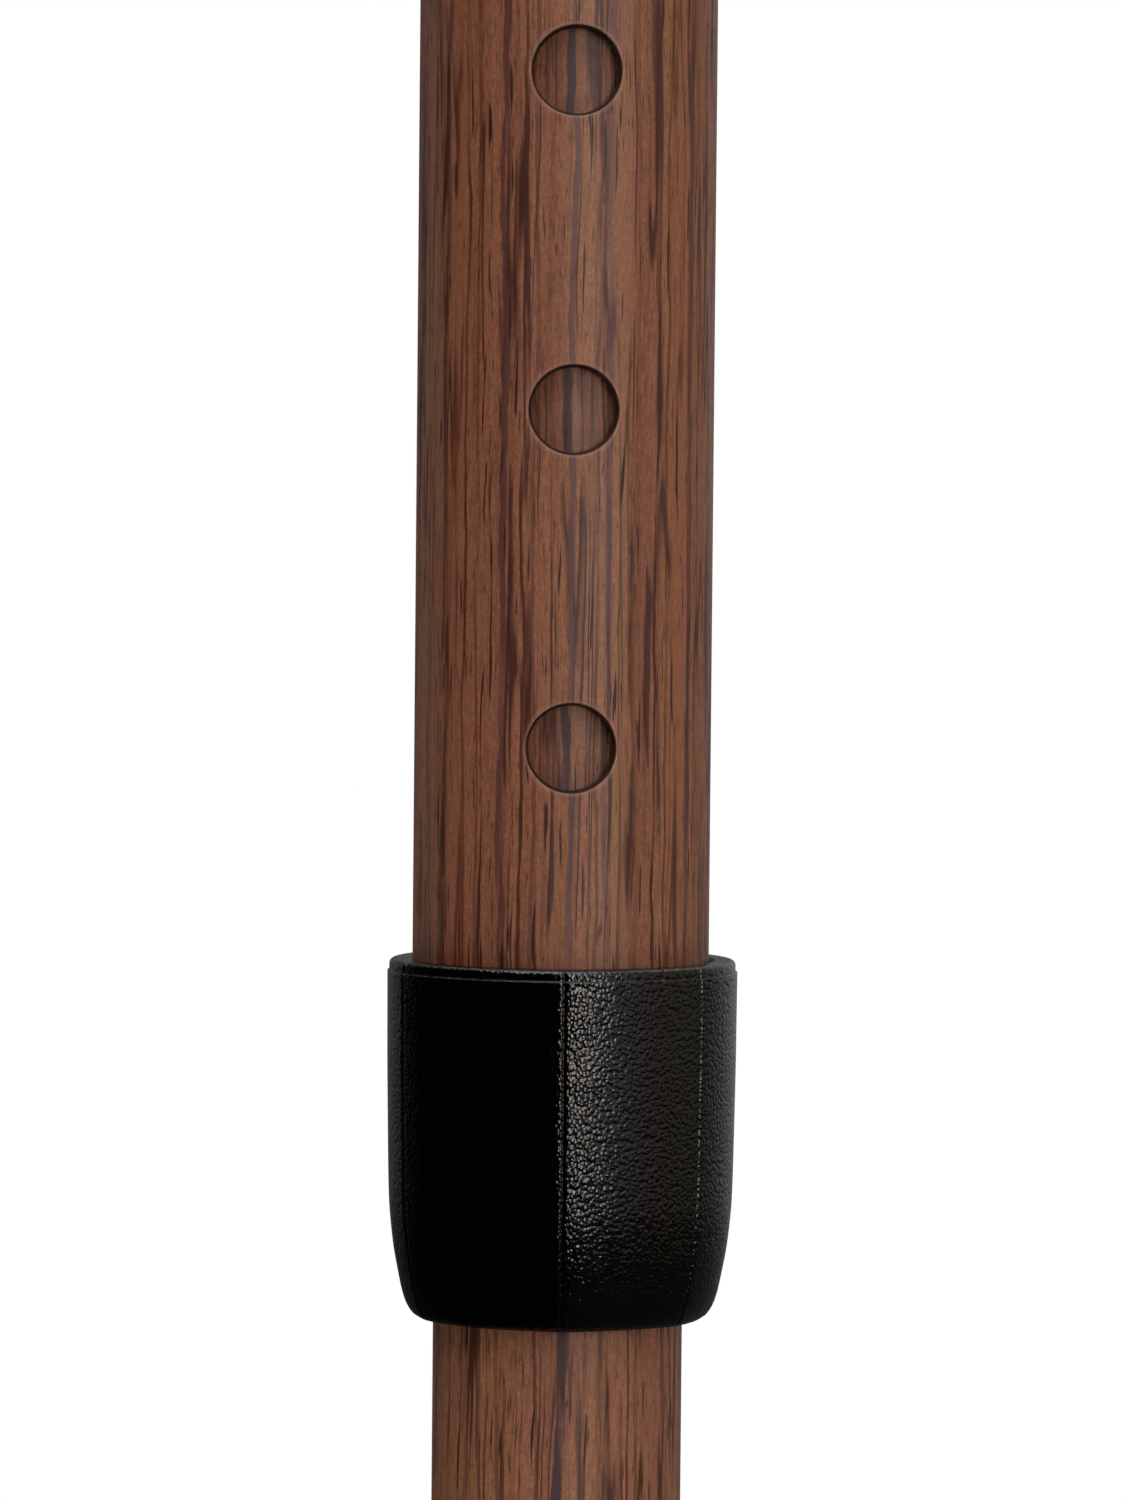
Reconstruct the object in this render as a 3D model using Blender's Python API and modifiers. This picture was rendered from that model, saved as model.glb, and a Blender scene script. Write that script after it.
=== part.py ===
"""Folding walking cane with a telescopic lower section, modelled upright at its real size.

The origin is the centre of the rubber foot's bottom face, +Z runs up the shaft, and the
adjustment holes face -Y. Run it with: blender --background --python part.py
"""
import math

import bmesh
import bpy
from mathutils import Vector

MM = 0.001

# Main tubes, of wall-drawn aluminium
TUBE_OUTER_RADIUS = 11.1 * MM
TUBE_WALL = 1.0 * MM
LOWER_TUBE_CLEARANCE = 0.75 * MM
LOWER_TUBE_WALL = 1.2 * MM

# Clearances
SEAT_GAP = 0.3 * MM
PRESS_GAP = 0.15 * MM
SLIDE_GAP = 0.2 * MM

# Height adjustment
HOLE_RADIUS = 3.35 * MM
HOLE_PITCH = 24.7 * MM
HOLE_COUNT = 7
HOLES_BELOW_BUTTON = 4
FIRST_HOLE_ABOVE_NUT = 16.1 * MM
TUBE_ABOVE_BUTTON = 12.0 * MM

# Locking collar at the end of the adjuster tube
NUT_BOTTOM_Z = 100.0 * MM
NUT_LENGTH = 26.7 * MM
NUT_THREAD_ROOM = 1.0 * MM
NUT_WALL = 1.2 * MM
NUT_FOOT_WALL = 1.9 * MM
NUT_LIP = 1.6 * MM
NUT_SIDE_TAPER = 0.15 * MM
NUT_SHOULDER_DROP = 21.3 * MM
NUT_SHOULDER_STEP = 0.7 * MM
NUT_CORNER_RADIUS = 1.0 * MM
NUT_RIM_BEVEL = 0.4 * MM
NUT_SEAT_FLOOR = 2.0 * MM
NUT_SEAT_TOP = 9.4 * MM
NUT_PANEL_EDGES_DEG = (-65.2, -2.7, 47.0, 114.8, 177.3, 227.0)
NUT_PANEL_DIP = 0.2 * MM
NUT_STEPS = 72
BUSHING_TRAVEL_ROOM = 1.9 * MM
BUSHING_DEPTH = 5.9 * MM
COLLET_BAND = 0.65 * MM
COLLET_SLOT_WIDTH = 1.5 * MM
COLLET_EDGE = 0.3 * MM
COLLET_SIDE_GAP = 0.4 * MM

# Rubber foot
FERRULE_HEIGHT = 42.0 * MM
FERRULE_WALL = 3.1 * MM
FERRULE_WAIST_FLARE = 1.1 * MM
FERRULE_WAIST_Z = 13.0 * MM
FERRULE_BASE_FLARE = 4.5 * MM
FERRULE_BASE_HEIGHT = 7.0 * MM
FERRULE_BEAD = 1.1 * MM
FERRULE_BEAD_HEIGHT = 4.0 * MM
FERRULE_FLOOR = 14.0 * MM
FERRULE_EDGE = 1.2 * MM
TREAD_DEPTH = 1.5 * MM
TREAD_WIDTH = 1.6 * MM
TREAD_INSET = 4.8 * MM
TREAD_PITCH = 4.6 * MM
TREAD_COUNT = 2
WASHER_INSET = 0.4 * MM
WASHER_HOLE_RADIUS = 3.0 * MM
WASHER_THICKNESS = 1.2 * MM

# Guide bush in the lower tube's top end
GUIDE_FLANGE = 3.0 * MM
GUIDE_SHANK = 6.0 * MM
GUIDE_WALL = 2.95 * MM

# Snap button and its leaf spring
BUTTON_SIDE_GAP = 0.3 * MM
BUTTON_PROUD = 1.3 * MM
BUTTON_DOME = 0.8 * MM
BUTTON_FLANGE_STEP = 1.1 * MM
BUTTON_FLANGE = 1.2 * MM
BUTTON_FLANGE_GAP = 0.33 * MM
LEAF_THICKNESS = 0.5 * MM
LEAF_WIDTH = 5.0 * MM
LEAF_DEPTH = 32.0 * MM
LEAF_ABOVE_BUTTON = 5.0 * MM
LEAF_BACK_INSET = 1.1 * MM
LEAF_BEND_RADIUS = 2.0 * MM

# Folding joints
FOLD_PIVOT_CLEARANCE = 0.4 * MM
PULL_PER_RADIAN = 14.0 * MM
FOLD_LIMIT_DEG = 178.0
ADJUSTER_ABOVE_TOP_HOLE = 55.0 * MM
MIDDLE_SECTION_LENGTH = 151.0 * MM
FOLDED_HANDLE_ROOM = 13.0 * MM
RING_PROUD = 0.5 * MM
RING_SKIRT = 7.0 * MM
RING_LIP = 1.2 * MM
SHOULDER_RING_LIP = 1.85 * MM
SPIGOT_SHANK = 17.0 * MM
SPIGOT_PLAY = 0.35 * MM
SPIGOT_LAND = 2.0 * MM
SPIGOT_HEIGHT = 20.0 * MM
SPIGOT_NOSE_OVERREACH = 2.6 * MM
SPIGOT_NOSE_STEPS = 6
SPIGOT_CORD_ROOM = 1.8 * MM

# Elastic cord and its anchors
CORD_RADIUS = 1.6 * MM
CORD_LINK_LENGTH = 8.0 * MM
ANCHOR_THICKNESS = 7.0 * MM
ANCHOR_CORD_ROOM = 0.4 * MM
STOP_WALL = 1.45 * MM
STOP_LENGTH = 5.0 * MM
TOP_ANCHOR_BELOW_STEM = 6.0 * MM

# Handle
STEM_IN_TUBE = 22.0 * MM
STEM_PEG_STEP = 3.1 * MM
STEM_PEG_HEIGHT = 16.0 * MM
HANDLE_COLLAR_WALL = 1.5 * MM
HANDLE_COLLAR_SKIRT = 9.0 * MM
HANDLE_COLLAR_LIP = 1.5 * MM
HANDLE_PIN_RADIUS = 1.5 * MM
HANDLE_PIN_BELOW_TOP = 13.0 * MM
NECK_FOOT_PROUD = 0.5 * MM
NECK_TOP_RADIUS = 14.2 * MM
NECK_HEIGHT = 17.0 * MM
# Grip sections from the nose to the heel: y, height of the middle, half width, half height
GRIP_STATIONS = (
    (-41.0 * MM, 19.5 * MM, 5.4 * MM, 5.6 * MM),
    (-35.5 * MM, 19.8 * MM, 10.4 * MM, 10.0 * MM),
    (-22.0 * MM, 20.6 * MM, 13.6 * MM, 12.4 * MM),
    (-4.0 * MM, 20.2 * MM, 15.2 * MM, 12.8 * MM),
    (16.0 * MM, 18.6 * MM, 15.0 * MM, 11.6 * MM),
    (38.0 * MM, 18.4 * MM, 14.8 * MM, 12.2 * MM),
    (58.0 * MM, 17.4 * MM, 14.0 * MM, 12.0 * MM),
    (74.0 * MM, 14.6 * MM, 11.4 * MM, 9.8 * MM),
    (81.0 * MM, 12.4 * MM, 6.2 * MM, 5.8 * MM),
)
GRIP_RING_POINTS = 10

# Round pieces, the cutters' overrun and the size of the joint axes' empties
ROUND_STEPS = 40
SMALL_STEPS = 24
CUT_OVERRUN = 2.0 * MM
AXIS_DISPLAY_SIZE = 10.0 * MM

# Values that follow from the sizes above
TUBE_BORE = TUBE_OUTER_RADIUS - TUBE_WALL
LOWER_TUBE_OUTER_RADIUS = TUBE_BORE - LOWER_TUBE_CLEARANCE
LOWER_TUBE_BORE = LOWER_TUBE_OUTER_RADIUS - LOWER_TUBE_WALL
NUT_BORE_RADIUS = TUBE_OUTER_RADIUS + NUT_THREAD_ROOM
NUT_RADIUS = NUT_BORE_RADIUS + NUT_WALL
NUT_SHOULDER_RADIUS = NUT_RADIUS - NUT_SHOULDER_STEP
NUT_FOOT_RADIUS = LOWER_TUBE_OUTER_RADIUS + NUT_FOOT_WALL
FERRULE_TOP_RADIUS = LOWER_TUBE_OUTER_RADIUS + FERRULE_WALL
FERRULE_WAIST_RADIUS = FERRULE_TOP_RADIUS + FERRULE_WAIST_FLARE
FERRULE_BASE_RADIUS = FERRULE_WAIST_RADIUS + FERRULE_BASE_FLARE
WASHER_RADIUS = LOWER_TUBE_OUTER_RADIUS - WASHER_INSET
GUIDE_HOLE_RADIUS = LOWER_TUBE_BORE - PRESS_GAP - GUIDE_WALL
BUTTON_RADIUS = HOLE_RADIUS - BUTTON_SIDE_GAP
BUTTON_FLANGE_RADIUS = BUTTON_RADIUS + BUTTON_FLANGE_STEP
BUTTON_FLANGE_OUTER_Y = math.sqrt(LOWER_TUBE_BORE**2 - BUTTON_FLANGE_RADIUS**2) - BUTTON_FLANGE_GAP
LEAF_BACK_Y = LOWER_TUBE_BORE - LEAF_BACK_INSET
RING_OUTER_RADIUS = TUBE_OUTER_RADIUS + RING_PROUD
FOLD_PIVOT_OFFSET = RING_OUTER_RADIUS + FOLD_PIVOT_CLEARANCE
SPIGOT_RADIUS = TUBE_BORE - SPIGOT_PLAY
SPIGOT_NOSE_REACH = SPIGOT_HEIGHT - SPIGOT_LAND + SPIGOT_NOSE_OVERREACH
SPIGOT_BORE_RADIUS = CORD_RADIUS + SPIGOT_CORD_ROOM
ANCHOR_HOLE_RADIUS = CORD_RADIUS + ANCHOR_CORD_ROOM
STOP_RADIUS = CORD_RADIUS + PRESS_GAP + STOP_WALL
STEM_PEG_RADIUS = TUBE_BORE - STEM_PEG_STEP
HANDLE_COLLAR_RADIUS = TUBE_OUTER_RADIUS + HANDLE_COLLAR_WALL
NECK_FOOT_RADIUS = TUBE_OUTER_RADIUS + NECK_FOOT_PROUD
NUT_TOP_Z = NUT_BOTTOM_Z + NUT_LENGTH
COLLET_TOP_Z = NUT_BOTTOM_Z + NUT_SEAT_TOP + COLLET_BAND
BUSHING_BOTTOM_Z = COLLET_TOP_Z + SEAT_GAP
ADJUSTER_TUBE_BOTTOM_Z = BUSHING_BOTTOM_Z + BUSHING_DEPTH + PRESS_GAP
BUSHING_TOP_Z = NUT_TOP_Z - NUT_LIP - BUSHING_TRAVEL_ROOM
FIRST_HOLE_Z = NUT_TOP_Z + FIRST_HOLE_ABOVE_NUT
BUTTON_Z = FIRST_HOLE_Z + HOLES_BELOW_BUTTON * HOLE_PITCH
TOP_HOLE_Z = FIRST_HOLE_Z + (HOLE_COUNT - 1) * HOLE_PITCH
LOWER_TUBE_BOTTOM_Z = FERRULE_FLOOR + WASHER_THICKNESS + 2 * SEAT_GAP
LOWER_TUBE_TOP_Z = BUTTON_Z + TUBE_ABOVE_BUTTON
JOINT_3_Z = TOP_HOLE_Z + ADJUSTER_ABOVE_TOP_HOLE
JOINT_2_Z = JOINT_3_Z + MIDDLE_SECTION_LENGTH
JOINT_1_Z = JOINT_2_Z + MIDDLE_SECTION_LENGTH
FOLDED_PULL = math.radians(FOLD_LIMIT_DEG) * PULL_PER_RADIAN
HANDLE_FOOT_Z = JOINT_1_Z + MIDDLE_SECTION_LENGTH + FOLDED_PULL + FOLDED_HANDLE_ROOM
TOP_TUBE_END_Z = HANDLE_FOOT_Z - SEAT_GAP - HANDLE_COLLAR_LIP - PRESS_GAP

COLLECTION_NAME = "folding_walking_cane"
CUTTER_COLLECTION_NAME = "cutters"


def clear_scene():
    """Remove whatever the file opens with."""
    for item in list(bpy.data.objects):
        bpy.data.objects.remove(item, do_unlink=True)


def new_collection(name):
    """Make a collection under the scene and return it."""
    collection = bpy.data.collections.new(name)
    bpy.context.scene.collection.children.link(collection)
    return collection


def new_material(name, colour, roughness, metallic):
    """Make a Principled material."""
    material = bpy.data.materials.new(name)
    material.use_nodes = True
    shader = material.node_tree.nodes["Principled BSDF"]
    shader.inputs["Base Color"].default_value = (*colour, 1.0)
    shader.inputs["Roughness"].default_value = roughness
    shader.inputs["Metallic"].default_value = metallic
    material.diffuse_color = (*colour, 1.0)
    return material


class Shop:
    """Holds the collections and materials, and makes the pieces."""

    def __init__(self):
        self.parts = new_collection(COLLECTION_NAME)
        self.cutters = new_collection(CUTTER_COLLECTION_NAME)
        self.wood_print = new_material("wood_print", (0.22, 0.09, 0.04), 0.35, 0.0)
        self.black_plastic = new_material("black_plastic", (0.02, 0.02, 0.022), 0.45, 0.0)
        self.grey_plastic = new_material("grey_plastic", (0.35, 0.35, 0.36), 0.5, 0.0)
        self.aluminium = new_material("aluminium", (0.75, 0.75, 0.77), 0.35, 1.0)
        self.steel = new_material("steel", (0.6, 0.6, 0.62), 0.3, 1.0)
        self.rubber = new_material("rubber", (0.03, 0.03, 0.03), 0.85, 0.0)
        self.elastic = new_material("elastic", (0.8, 0.8, 0.78), 0.9, 0.0)
        self.walnut = new_material("walnut", (0.16, 0.07, 0.03), 0.3, 0.0)

    def frame(self, name, position, parent=None):
        """Make an empty on a joint's axis, for the pieces that move there."""
        empty = bpy.data.objects.new(name, None)
        empty.empty_display_size = AXIS_DISPLAY_SIZE
        self.parts.objects.link(empty)
        empty["at"] = tuple(position)
        if parent is None:
            empty.location = position
        else:
            empty.parent = parent
            empty.location = Vector(position) - Vector(parent["at"])
        return empty

    def add(self, name, mesh, material, frame, position, rotation=(0.0, 0.0, 0.0)):
        """Place a mesh or curve as a piece that rides on a frame."""
        piece = bpy.data.objects.new(name, mesh)
        mesh.materials.append(material)
        self.parts.objects.link(piece)
        piece.parent = frame
        piece.location = Vector(position) - Vector(frame["at"])
        piece.rotation_euler = rotation
        return piece

    def cutter(self, name, mesh, position, rotation=(0.0, 0.0, 0.0)):
        """Place a mesh as a hidden cutter in world space."""
        tool = bpy.data.objects.new(name, mesh)
        self.cutters.objects.link(tool)
        tool.location = position
        tool.rotation_euler = rotation
        tool.hide_render = True
        tool.display_type = "WIRE"
        return tool


def profile_mesh(name, points, closed):
    """Make a mesh of edges from (radius, height) points in the XZ plane."""
    shape = bmesh.new()
    corners = [shape.verts.new((radius, 0.0, height)) for radius, height in points]
    for first, second in zip(corners, corners[1:]):
        shape.edges.new((first, second))
    if closed:
        shape.edges.new((corners[-1], corners[0]))
    mesh = bpy.data.meshes.new(name)
    shape.to_mesh(mesh)
    shape.free()
    return mesh


def spin(piece, steps):
    """Turn a piece's profile about its own Z axis."""
    screw = piece.modifiers.new("turned", "SCREW")
    screw.axis = "Z"
    screw.angle = 2.0 * math.pi
    screw.steps = steps
    screw.render_steps = steps
    screw.use_merge_vertices = True
    screw.merge_threshold = 0.00002
    screw.use_smooth_shade = False
    return screw


def cut(piece, tool, operation="DIFFERENCE"):
    """Cut a piece with a tool, or join the tool to it."""
    boolean = piece.modifiers.new(tool.name, "BOOLEAN")
    boolean.operation = operation
    boolean.solver = "EXACT"
    boolean.object = tool


def turned_ring(shop, name, points, material, frame, base_z, steps=ROUND_STEPS):
    """Turn a closed profile that stands clear of the axis."""
    mesh = profile_mesh(name, points, closed=True)
    piece = shop.add(name, mesh, material, frame, (0.0, 0.0, base_z))
    spin(piece, steps)
    return piece


def turned_solid(shop, name, points, material, frame, base_z, steps=ROUND_STEPS):
    """Turn an open profile that starts and ends on the axis."""
    mesh = profile_mesh(name, points, closed=False)
    piece = shop.add(name, mesh, material, frame, (0.0, 0.0, base_z))
    spin(piece, steps)
    return piece


def tube_points(outer, inner, length):
    """Return a plain tube's profile, from its bottom end at height 0."""
    return [(outer, length), (outer, 0.0), (inner, 0.0), (inner, length)]


def cylinder_mesh(name, radius, length, steps=SMALL_STEPS):
    """Make a cylinder about Z that is centred on its origin."""
    shape = bmesh.new()
    bmesh.ops.create_cone(
        shape,
        cap_ends=True,
        cap_tris=False,
        segments=steps,
        radius1=radius,
        radius2=radius,
        depth=length,
    )
    mesh = bpy.data.meshes.new(name)
    shape.to_mesh(mesh)
    shape.free()
    return mesh


def box_mesh(name, size_x, size_y, size_z):
    """Make a box that is centred on its origin."""
    shape = bmesh.new()
    bmesh.ops.create_cube(shape, size=1.0)
    bmesh.ops.scale(shape, vec=(size_x, size_y, size_z), verts=shape.verts)
    mesh = bpy.data.meshes.new(name)
    shape.to_mesh(mesh)
    shape.free()
    return mesh


def drill_front(shop, piece, name, height, wall_y, steps=SMALL_STEPS):
    """Drill one adjustment hole through the front wall of a tube."""
    depth = TUBE_OUTER_RADIUS
    mesh = cylinder_mesh(name, HOLE_RADIUS, depth, steps)
    tool = shop.cutter(name, mesh, (0.0, -wall_y, height), (math.pi / 2, 0.0, 0.0))
    cut(piece, tool)


def build_adjuster_tube(shop, frame):
    """The outer tube with the row of height holes."""
    bottom = ADJUSTER_TUBE_BOTTOM_Z
    top = JOINT_3_Z - SHOULDER_RING_LIP - PRESS_GAP
    points = tube_points(TUBE_OUTER_RADIUS, TUBE_BORE, top - bottom)
    tube = turned_ring(shop, "adjuster_tube", points, shop.wood_print, frame, bottom)
    for index in range(HOLE_COUNT):
        height = FIRST_HOLE_Z + index * HOLE_PITCH
        drill_front(shop, tube, f"height_hole_{index + 1}", height, TUBE_OUTER_RADIUS)
    return tube


def build_threaded_bushing(shop, frame):
    """The bushing that closes the adjuster tube's end and carries the nut's thread."""
    skirt_inner = TUBE_OUTER_RADIUS + PRESS_GAP
    skirt_outer = NUT_BORE_RADIUS - SEAT_GAP
    lip = BUSHING_DEPTH
    top = BUSHING_TOP_Z - BUSHING_BOTTOM_Z
    bore = LOWER_TUBE_OUTER_RADIUS + SEAT_GAP
    points = [
        (skirt_outer, top),
        (skirt_outer, 0.0),
        (bore, 0.0),
        (bore, lip),
        (skirt_inner, lip),
        (skirt_inner, top),
    ]
    turned_ring(shop, "threaded_bushing", points, shop.grey_plastic, frame, BUSHING_BOTTOM_Z)


def build_collet(shop, frame):
    """The split wedge ring that the nut squeezes on the lower tube."""
    top = COLLET_TOP_Z - NUT_BOTTOM_Z
    bore = LOWER_TUBE_OUTER_RADIUS + SEAT_GAP
    widest = NUT_BORE_RADIUS - COLLET_SIDE_GAP
    shoulder = NUT_SEAT_TOP
    seat_slope = (NUT_SEAT_TOP - NUT_SEAT_FLOOR) / (NUT_BORE_RADIUS - bore)
    bottom = NUT_SEAT_FLOOR + (COLLET_EDGE + COLLET_SIDE_GAP) * seat_slope
    points = [
        (widest, top - bottom),
        (widest, shoulder - bottom),
        (bore + COLLET_EDGE, 0.0),
        (bore, 0.0),
        (bore, top - bottom),
    ]
    collet = turned_ring(
        shop, "collet_ring", points, shop.grey_plastic, frame, NUT_BOTTOM_Z + bottom
    )
    reach = 2 * (widest - bore + CUT_OVERRUN)
    slot = box_mesh("collet_slot", reach, COLLET_SLOT_WIDTH, NUT_LENGTH)
    middle = (bore + widest) / 2
    cut(collet, shop.cutter("collet_slot", slot, (middle, 0.0, NUT_BOTTOM_Z + NUT_SEAT_TOP)))


def panel_share(angle_deg):
    """Return how far, from 0 to 1, an angle lies into its panel between two edges."""
    edges = list(NUT_PANEL_EDGES_DEG) + [NUT_PANEL_EDGES_DEG[0] + 360.0]
    start = edges[0]
    angle = (angle_deg - start) % 360.0 + start
    for low, high in zip(edges, edges[1:]):
        if low <= angle < high:
            return (angle - low) / (high - low)
    return 0.0


def build_lock_nut(shop, frame):
    """The moulded locking collar, whose side has six flattened panels."""
    shoulder = NUT_LENGTH - NUT_SHOULDER_DROP
    bore = LOWER_TUBE_OUTER_RADIUS + SEAT_GAP
    lip_bore = TUBE_OUTER_RADIUS + SEAT_GAP
    rim = NUT_RADIUS - NUT_RIM_BEVEL
    corner = NUT_FOOT_RADIUS + NUT_CORNER_RADIUS * 0.6
    points = [
        (rim, NUT_LENGTH),
        (NUT_RADIUS, NUT_LENGTH - NUT_RIM_BEVEL),
        (NUT_RADIUS - NUT_SIDE_TAPER, NUT_LENGTH * 0.45),
        (NUT_SHOULDER_RADIUS, shoulder),
        (corner, NUT_CORNER_RADIUS * 1.5),
        (NUT_FOOT_RADIUS, NUT_CORNER_RADIUS * 0.4),
        (NUT_FOOT_RADIUS - NUT_CORNER_RADIUS * 0.4, 0.0),
        (bore, 0.0),
        (bore, NUT_SEAT_FLOOR),
        (NUT_BORE_RADIUS, NUT_SEAT_TOP),
        (NUT_BORE_RADIUS, NUT_LENGTH - NUT_LIP),
        (lip_bore, NUT_LENGTH - NUT_LIP),
        (lip_bore, NUT_LENGTH),
    ]
    outline = profile_mesh("lock_nut_profile", points, closed=True)
    blank = shop.cutter("lock_nut_blank", outline, (0.0, 0.0, 0.0))
    spin(blank, NUT_STEPS)
    bpy.context.view_layer.update()
    evaluated = blank.evaluated_get(bpy.context.evaluated_depsgraph_get())
    mesh = bpy.data.meshes.new_from_object(evaluated)
    bpy.data.objects.remove(blank)
    mesh.name = "lock_nut"
    shape = bmesh.new()
    shape.from_mesh(mesh)
    for corner_point in shape.verts:
        x, y, _ = corner_point.co
        radius = math.hypot(x, y)
        if radius < NUT_BORE_RADIUS + 0.01 * MM and corner_point.co.z > NUT_SEAT_FLOOR:
            continue
        if radius < NUT_FOOT_RADIUS - NUT_CORNER_RADIUS:
            continue
        share = panel_share(math.degrees(math.atan2(x, -y)))
        dip = NUT_PANEL_DIP * math.sin(math.pi * share)
        corner_point.co.x *= (radius - dip) / radius
        corner_point.co.y *= (radius - dip) / radius
    shape.to_mesh(mesh)
    shape.free()
    return shop.add("lock_nut", mesh, shop.black_plastic, frame, (0.0, 0.0, NUT_BOTTOM_Z))


def build_lower_tube(shop, frame):
    """The inner tube that slides in the adjuster tube."""
    length = LOWER_TUBE_TOP_Z - LOWER_TUBE_BOTTOM_Z
    points = tube_points(LOWER_TUBE_OUTER_RADIUS, LOWER_TUBE_BORE, length)
    tube = turned_ring(
        shop, "lower_tube", points, shop.wood_print, frame, LOWER_TUBE_BOTTOM_Z
    )
    drill_front(shop, tube, "button_hole", BUTTON_Z, LOWER_TUBE_OUTER_RADIUS)


def build_guide_bush(shop, frame):
    """The flanged bush that centres the lower tube's top end."""
    flange = TUBE_BORE - SLIDE_GAP
    shank = LOWER_TUBE_BORE - PRESS_GAP
    points = [
        (flange, GUIDE_FLANGE),
        (flange, 0.0),
        (shank, 0.0),
        (shank, -GUIDE_SHANK),
        (GUIDE_HOLE_RADIUS, -GUIDE_SHANK),
        (GUIDE_HOLE_RADIUS, GUIDE_FLANGE),
    ]
    base = LOWER_TUBE_TOP_Z + PRESS_GAP
    turned_ring(shop, "guide_bush", points, shop.grey_plastic, frame, base)


def build_ferrule(shop, frame):
    """The rubber foot with a ringed tread."""
    socket = LOWER_TUBE_OUTER_RADIUS + PRESS_GAP
    bead_bottom = FERRULE_HEIGHT - FERRULE_BEAD_HEIGHT
    points = [
        (0.0, FERRULE_FLOOR),
        (socket, FERRULE_FLOOR),
        (socket, FERRULE_HEIGHT),
        (FERRULE_TOP_RADIUS, FERRULE_HEIGHT),
        (FERRULE_TOP_RADIUS + FERRULE_BEAD, FERRULE_HEIGHT - FERRULE_BEAD),
        (FERRULE_TOP_RADIUS + FERRULE_BEAD, bead_bottom + FERRULE_BEAD),
        (FERRULE_TOP_RADIUS, bead_bottom),
        (FERRULE_WAIST_RADIUS, FERRULE_WAIST_Z),
        (FERRULE_BASE_RADIUS - FERRULE_EDGE, FERRULE_BASE_HEIGHT),
        (FERRULE_BASE_RADIUS, FERRULE_BASE_HEIGHT - FERRULE_EDGE),
        (FERRULE_BASE_RADIUS, FERRULE_EDGE),
        (FERRULE_BASE_RADIUS - FERRULE_EDGE, 0.0),
    ]
    for ring in range(TREAD_COUNT):
        radius = FERRULE_BASE_RADIUS - TREAD_INSET - ring * TREAD_PITCH
        points += [
            (radius + TREAD_WIDTH / 2, 0.0),
            (radius + TREAD_WIDTH / 2, TREAD_DEPTH),
            (radius - TREAD_WIDTH / 2, TREAD_DEPTH),
            (radius - TREAD_WIDTH / 2, 0.0),
        ]
    points.append((0.0, 0.0))
    turned_solid(shop, "rubber_ferrule", points, shop.rubber, frame, 0.0)
    washer = tube_points(WASHER_RADIUS, WASHER_HOLE_RADIUS, WASHER_THICKNESS)
    base = FERRULE_FLOOR + SEAT_GAP
    turned_ring(shop, "ferrule_washer", washer, shop.steel, frame, base, SMALL_STEPS)


def build_snap_button(shop, frame):
    """The domed pin that locks the lower tube in a hole."""
    reach = TUBE_OUTER_RADIUS + BUTTON_PROUD
    flange_back = BUTTON_FLANGE_OUTER_Y - BUTTON_FLANGE
    points = [
        (0.0, reach),
        (BUTTON_RADIUS * 0.6, reach - BUTTON_DOME * 0.25),
        (BUTTON_RADIUS, reach - BUTTON_DOME),
        (BUTTON_RADIUS, BUTTON_FLANGE_OUTER_Y),
        (BUTTON_FLANGE_RADIUS, BUTTON_FLANGE_OUTER_Y),
        (BUTTON_FLANGE_RADIUS, flange_back),
        (0.0, flange_back),
    ]
    mesh = profile_mesh("snap_button", points, closed=False)
    position = (0.0, 0.0, BUTTON_Z)
    turn = (math.pi / 2, 0.0, 0.0)
    button = shop.add("snap_button", mesh, shop.steel, frame, position, turn)
    spin(button, SMALL_STEPS)


def build_button_spring(shop, frame):
    """The V-shaped leaf spring behind the button."""
    front_y = -(BUTTON_FLANGE_OUTER_Y - BUTTON_FLANGE - SEAT_GAP)
    top = LEAF_ABOVE_BUTTON
    bottom = LEAF_ABOVE_BUTTON - LEAF_DEPTH
    bend = LEAF_BEND_RADIUS
    route = [(front_y, top), (front_y, -top)]
    for step in range(5):
        angle = math.pi + step * math.pi / 4
        route.append((bend * math.cos(angle), bottom + bend + bend * math.sin(angle)))
    route.append((LEAF_BACK_Y, top))
    outline = offset_outline(route, LEAF_THICKNESS)
    curve = bpy.data.curves.new("button_spring", "CURVE")
    curve.dimensions = "2D"
    curve.fill_mode = "BOTH"
    curve.extrude = LEAF_WIDTH / 2
    spline = curve.splines.new("POLY")
    spline.points.add(len(outline) - 1)
    for point, (across, up) in zip(spline.points, outline):
        point.co = (across, up, 0.0, 1.0)
    spline.use_cyclic_u = True
    turn = (math.pi / 2, 0.0, math.pi / 2)
    shop.add("button_spring", curve, shop.steel, frame, (0.0, 0.0, BUTTON_Z), turn)


def offset_outline(route, thickness):
    """Give a flat strip's centre line its thickness, as one closed outline."""
    normals = []
    for index in range(len(route)):
        before = Vector(route[max(index - 1, 0)])
        after = Vector(route[min(index + 1, len(route) - 1)])
        along = (after - before).normalized()
        normals.append(Vector((-along.y, along.x)))
    half = thickness / 2
    left = [Vector(point) + normal * half for point, normal in zip(route, normals)]
    right = [Vector(point) - normal * half for point, normal in zip(route, normals)]
    return [tuple(point) for point in left + right[::-1]]


def build_shoulder_ring(shop, number, joint_z, frame):
    """The plastic ring that caps the tube under a folding joint."""
    lip_bore = SPIGOT_RADIUS + SLIDE_GAP
    skirt_inner = TUBE_OUTER_RADIUS + PRESS_GAP
    lip = SHOULDER_RING_LIP
    points = [
        (RING_OUTER_RADIUS, 0.0),
        (RING_OUTER_RADIUS, -lip - RING_SKIRT),
        (skirt_inner, -lip - RING_SKIRT),
        (skirt_inner, -lip),
        (lip_bore, -lip),
        (lip_bore, 0.0),
    ]
    name = f"shoulder_ring_{number}"
    turned_ring(shop, name, points, shop.black_plastic, frame, joint_z)


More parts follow.
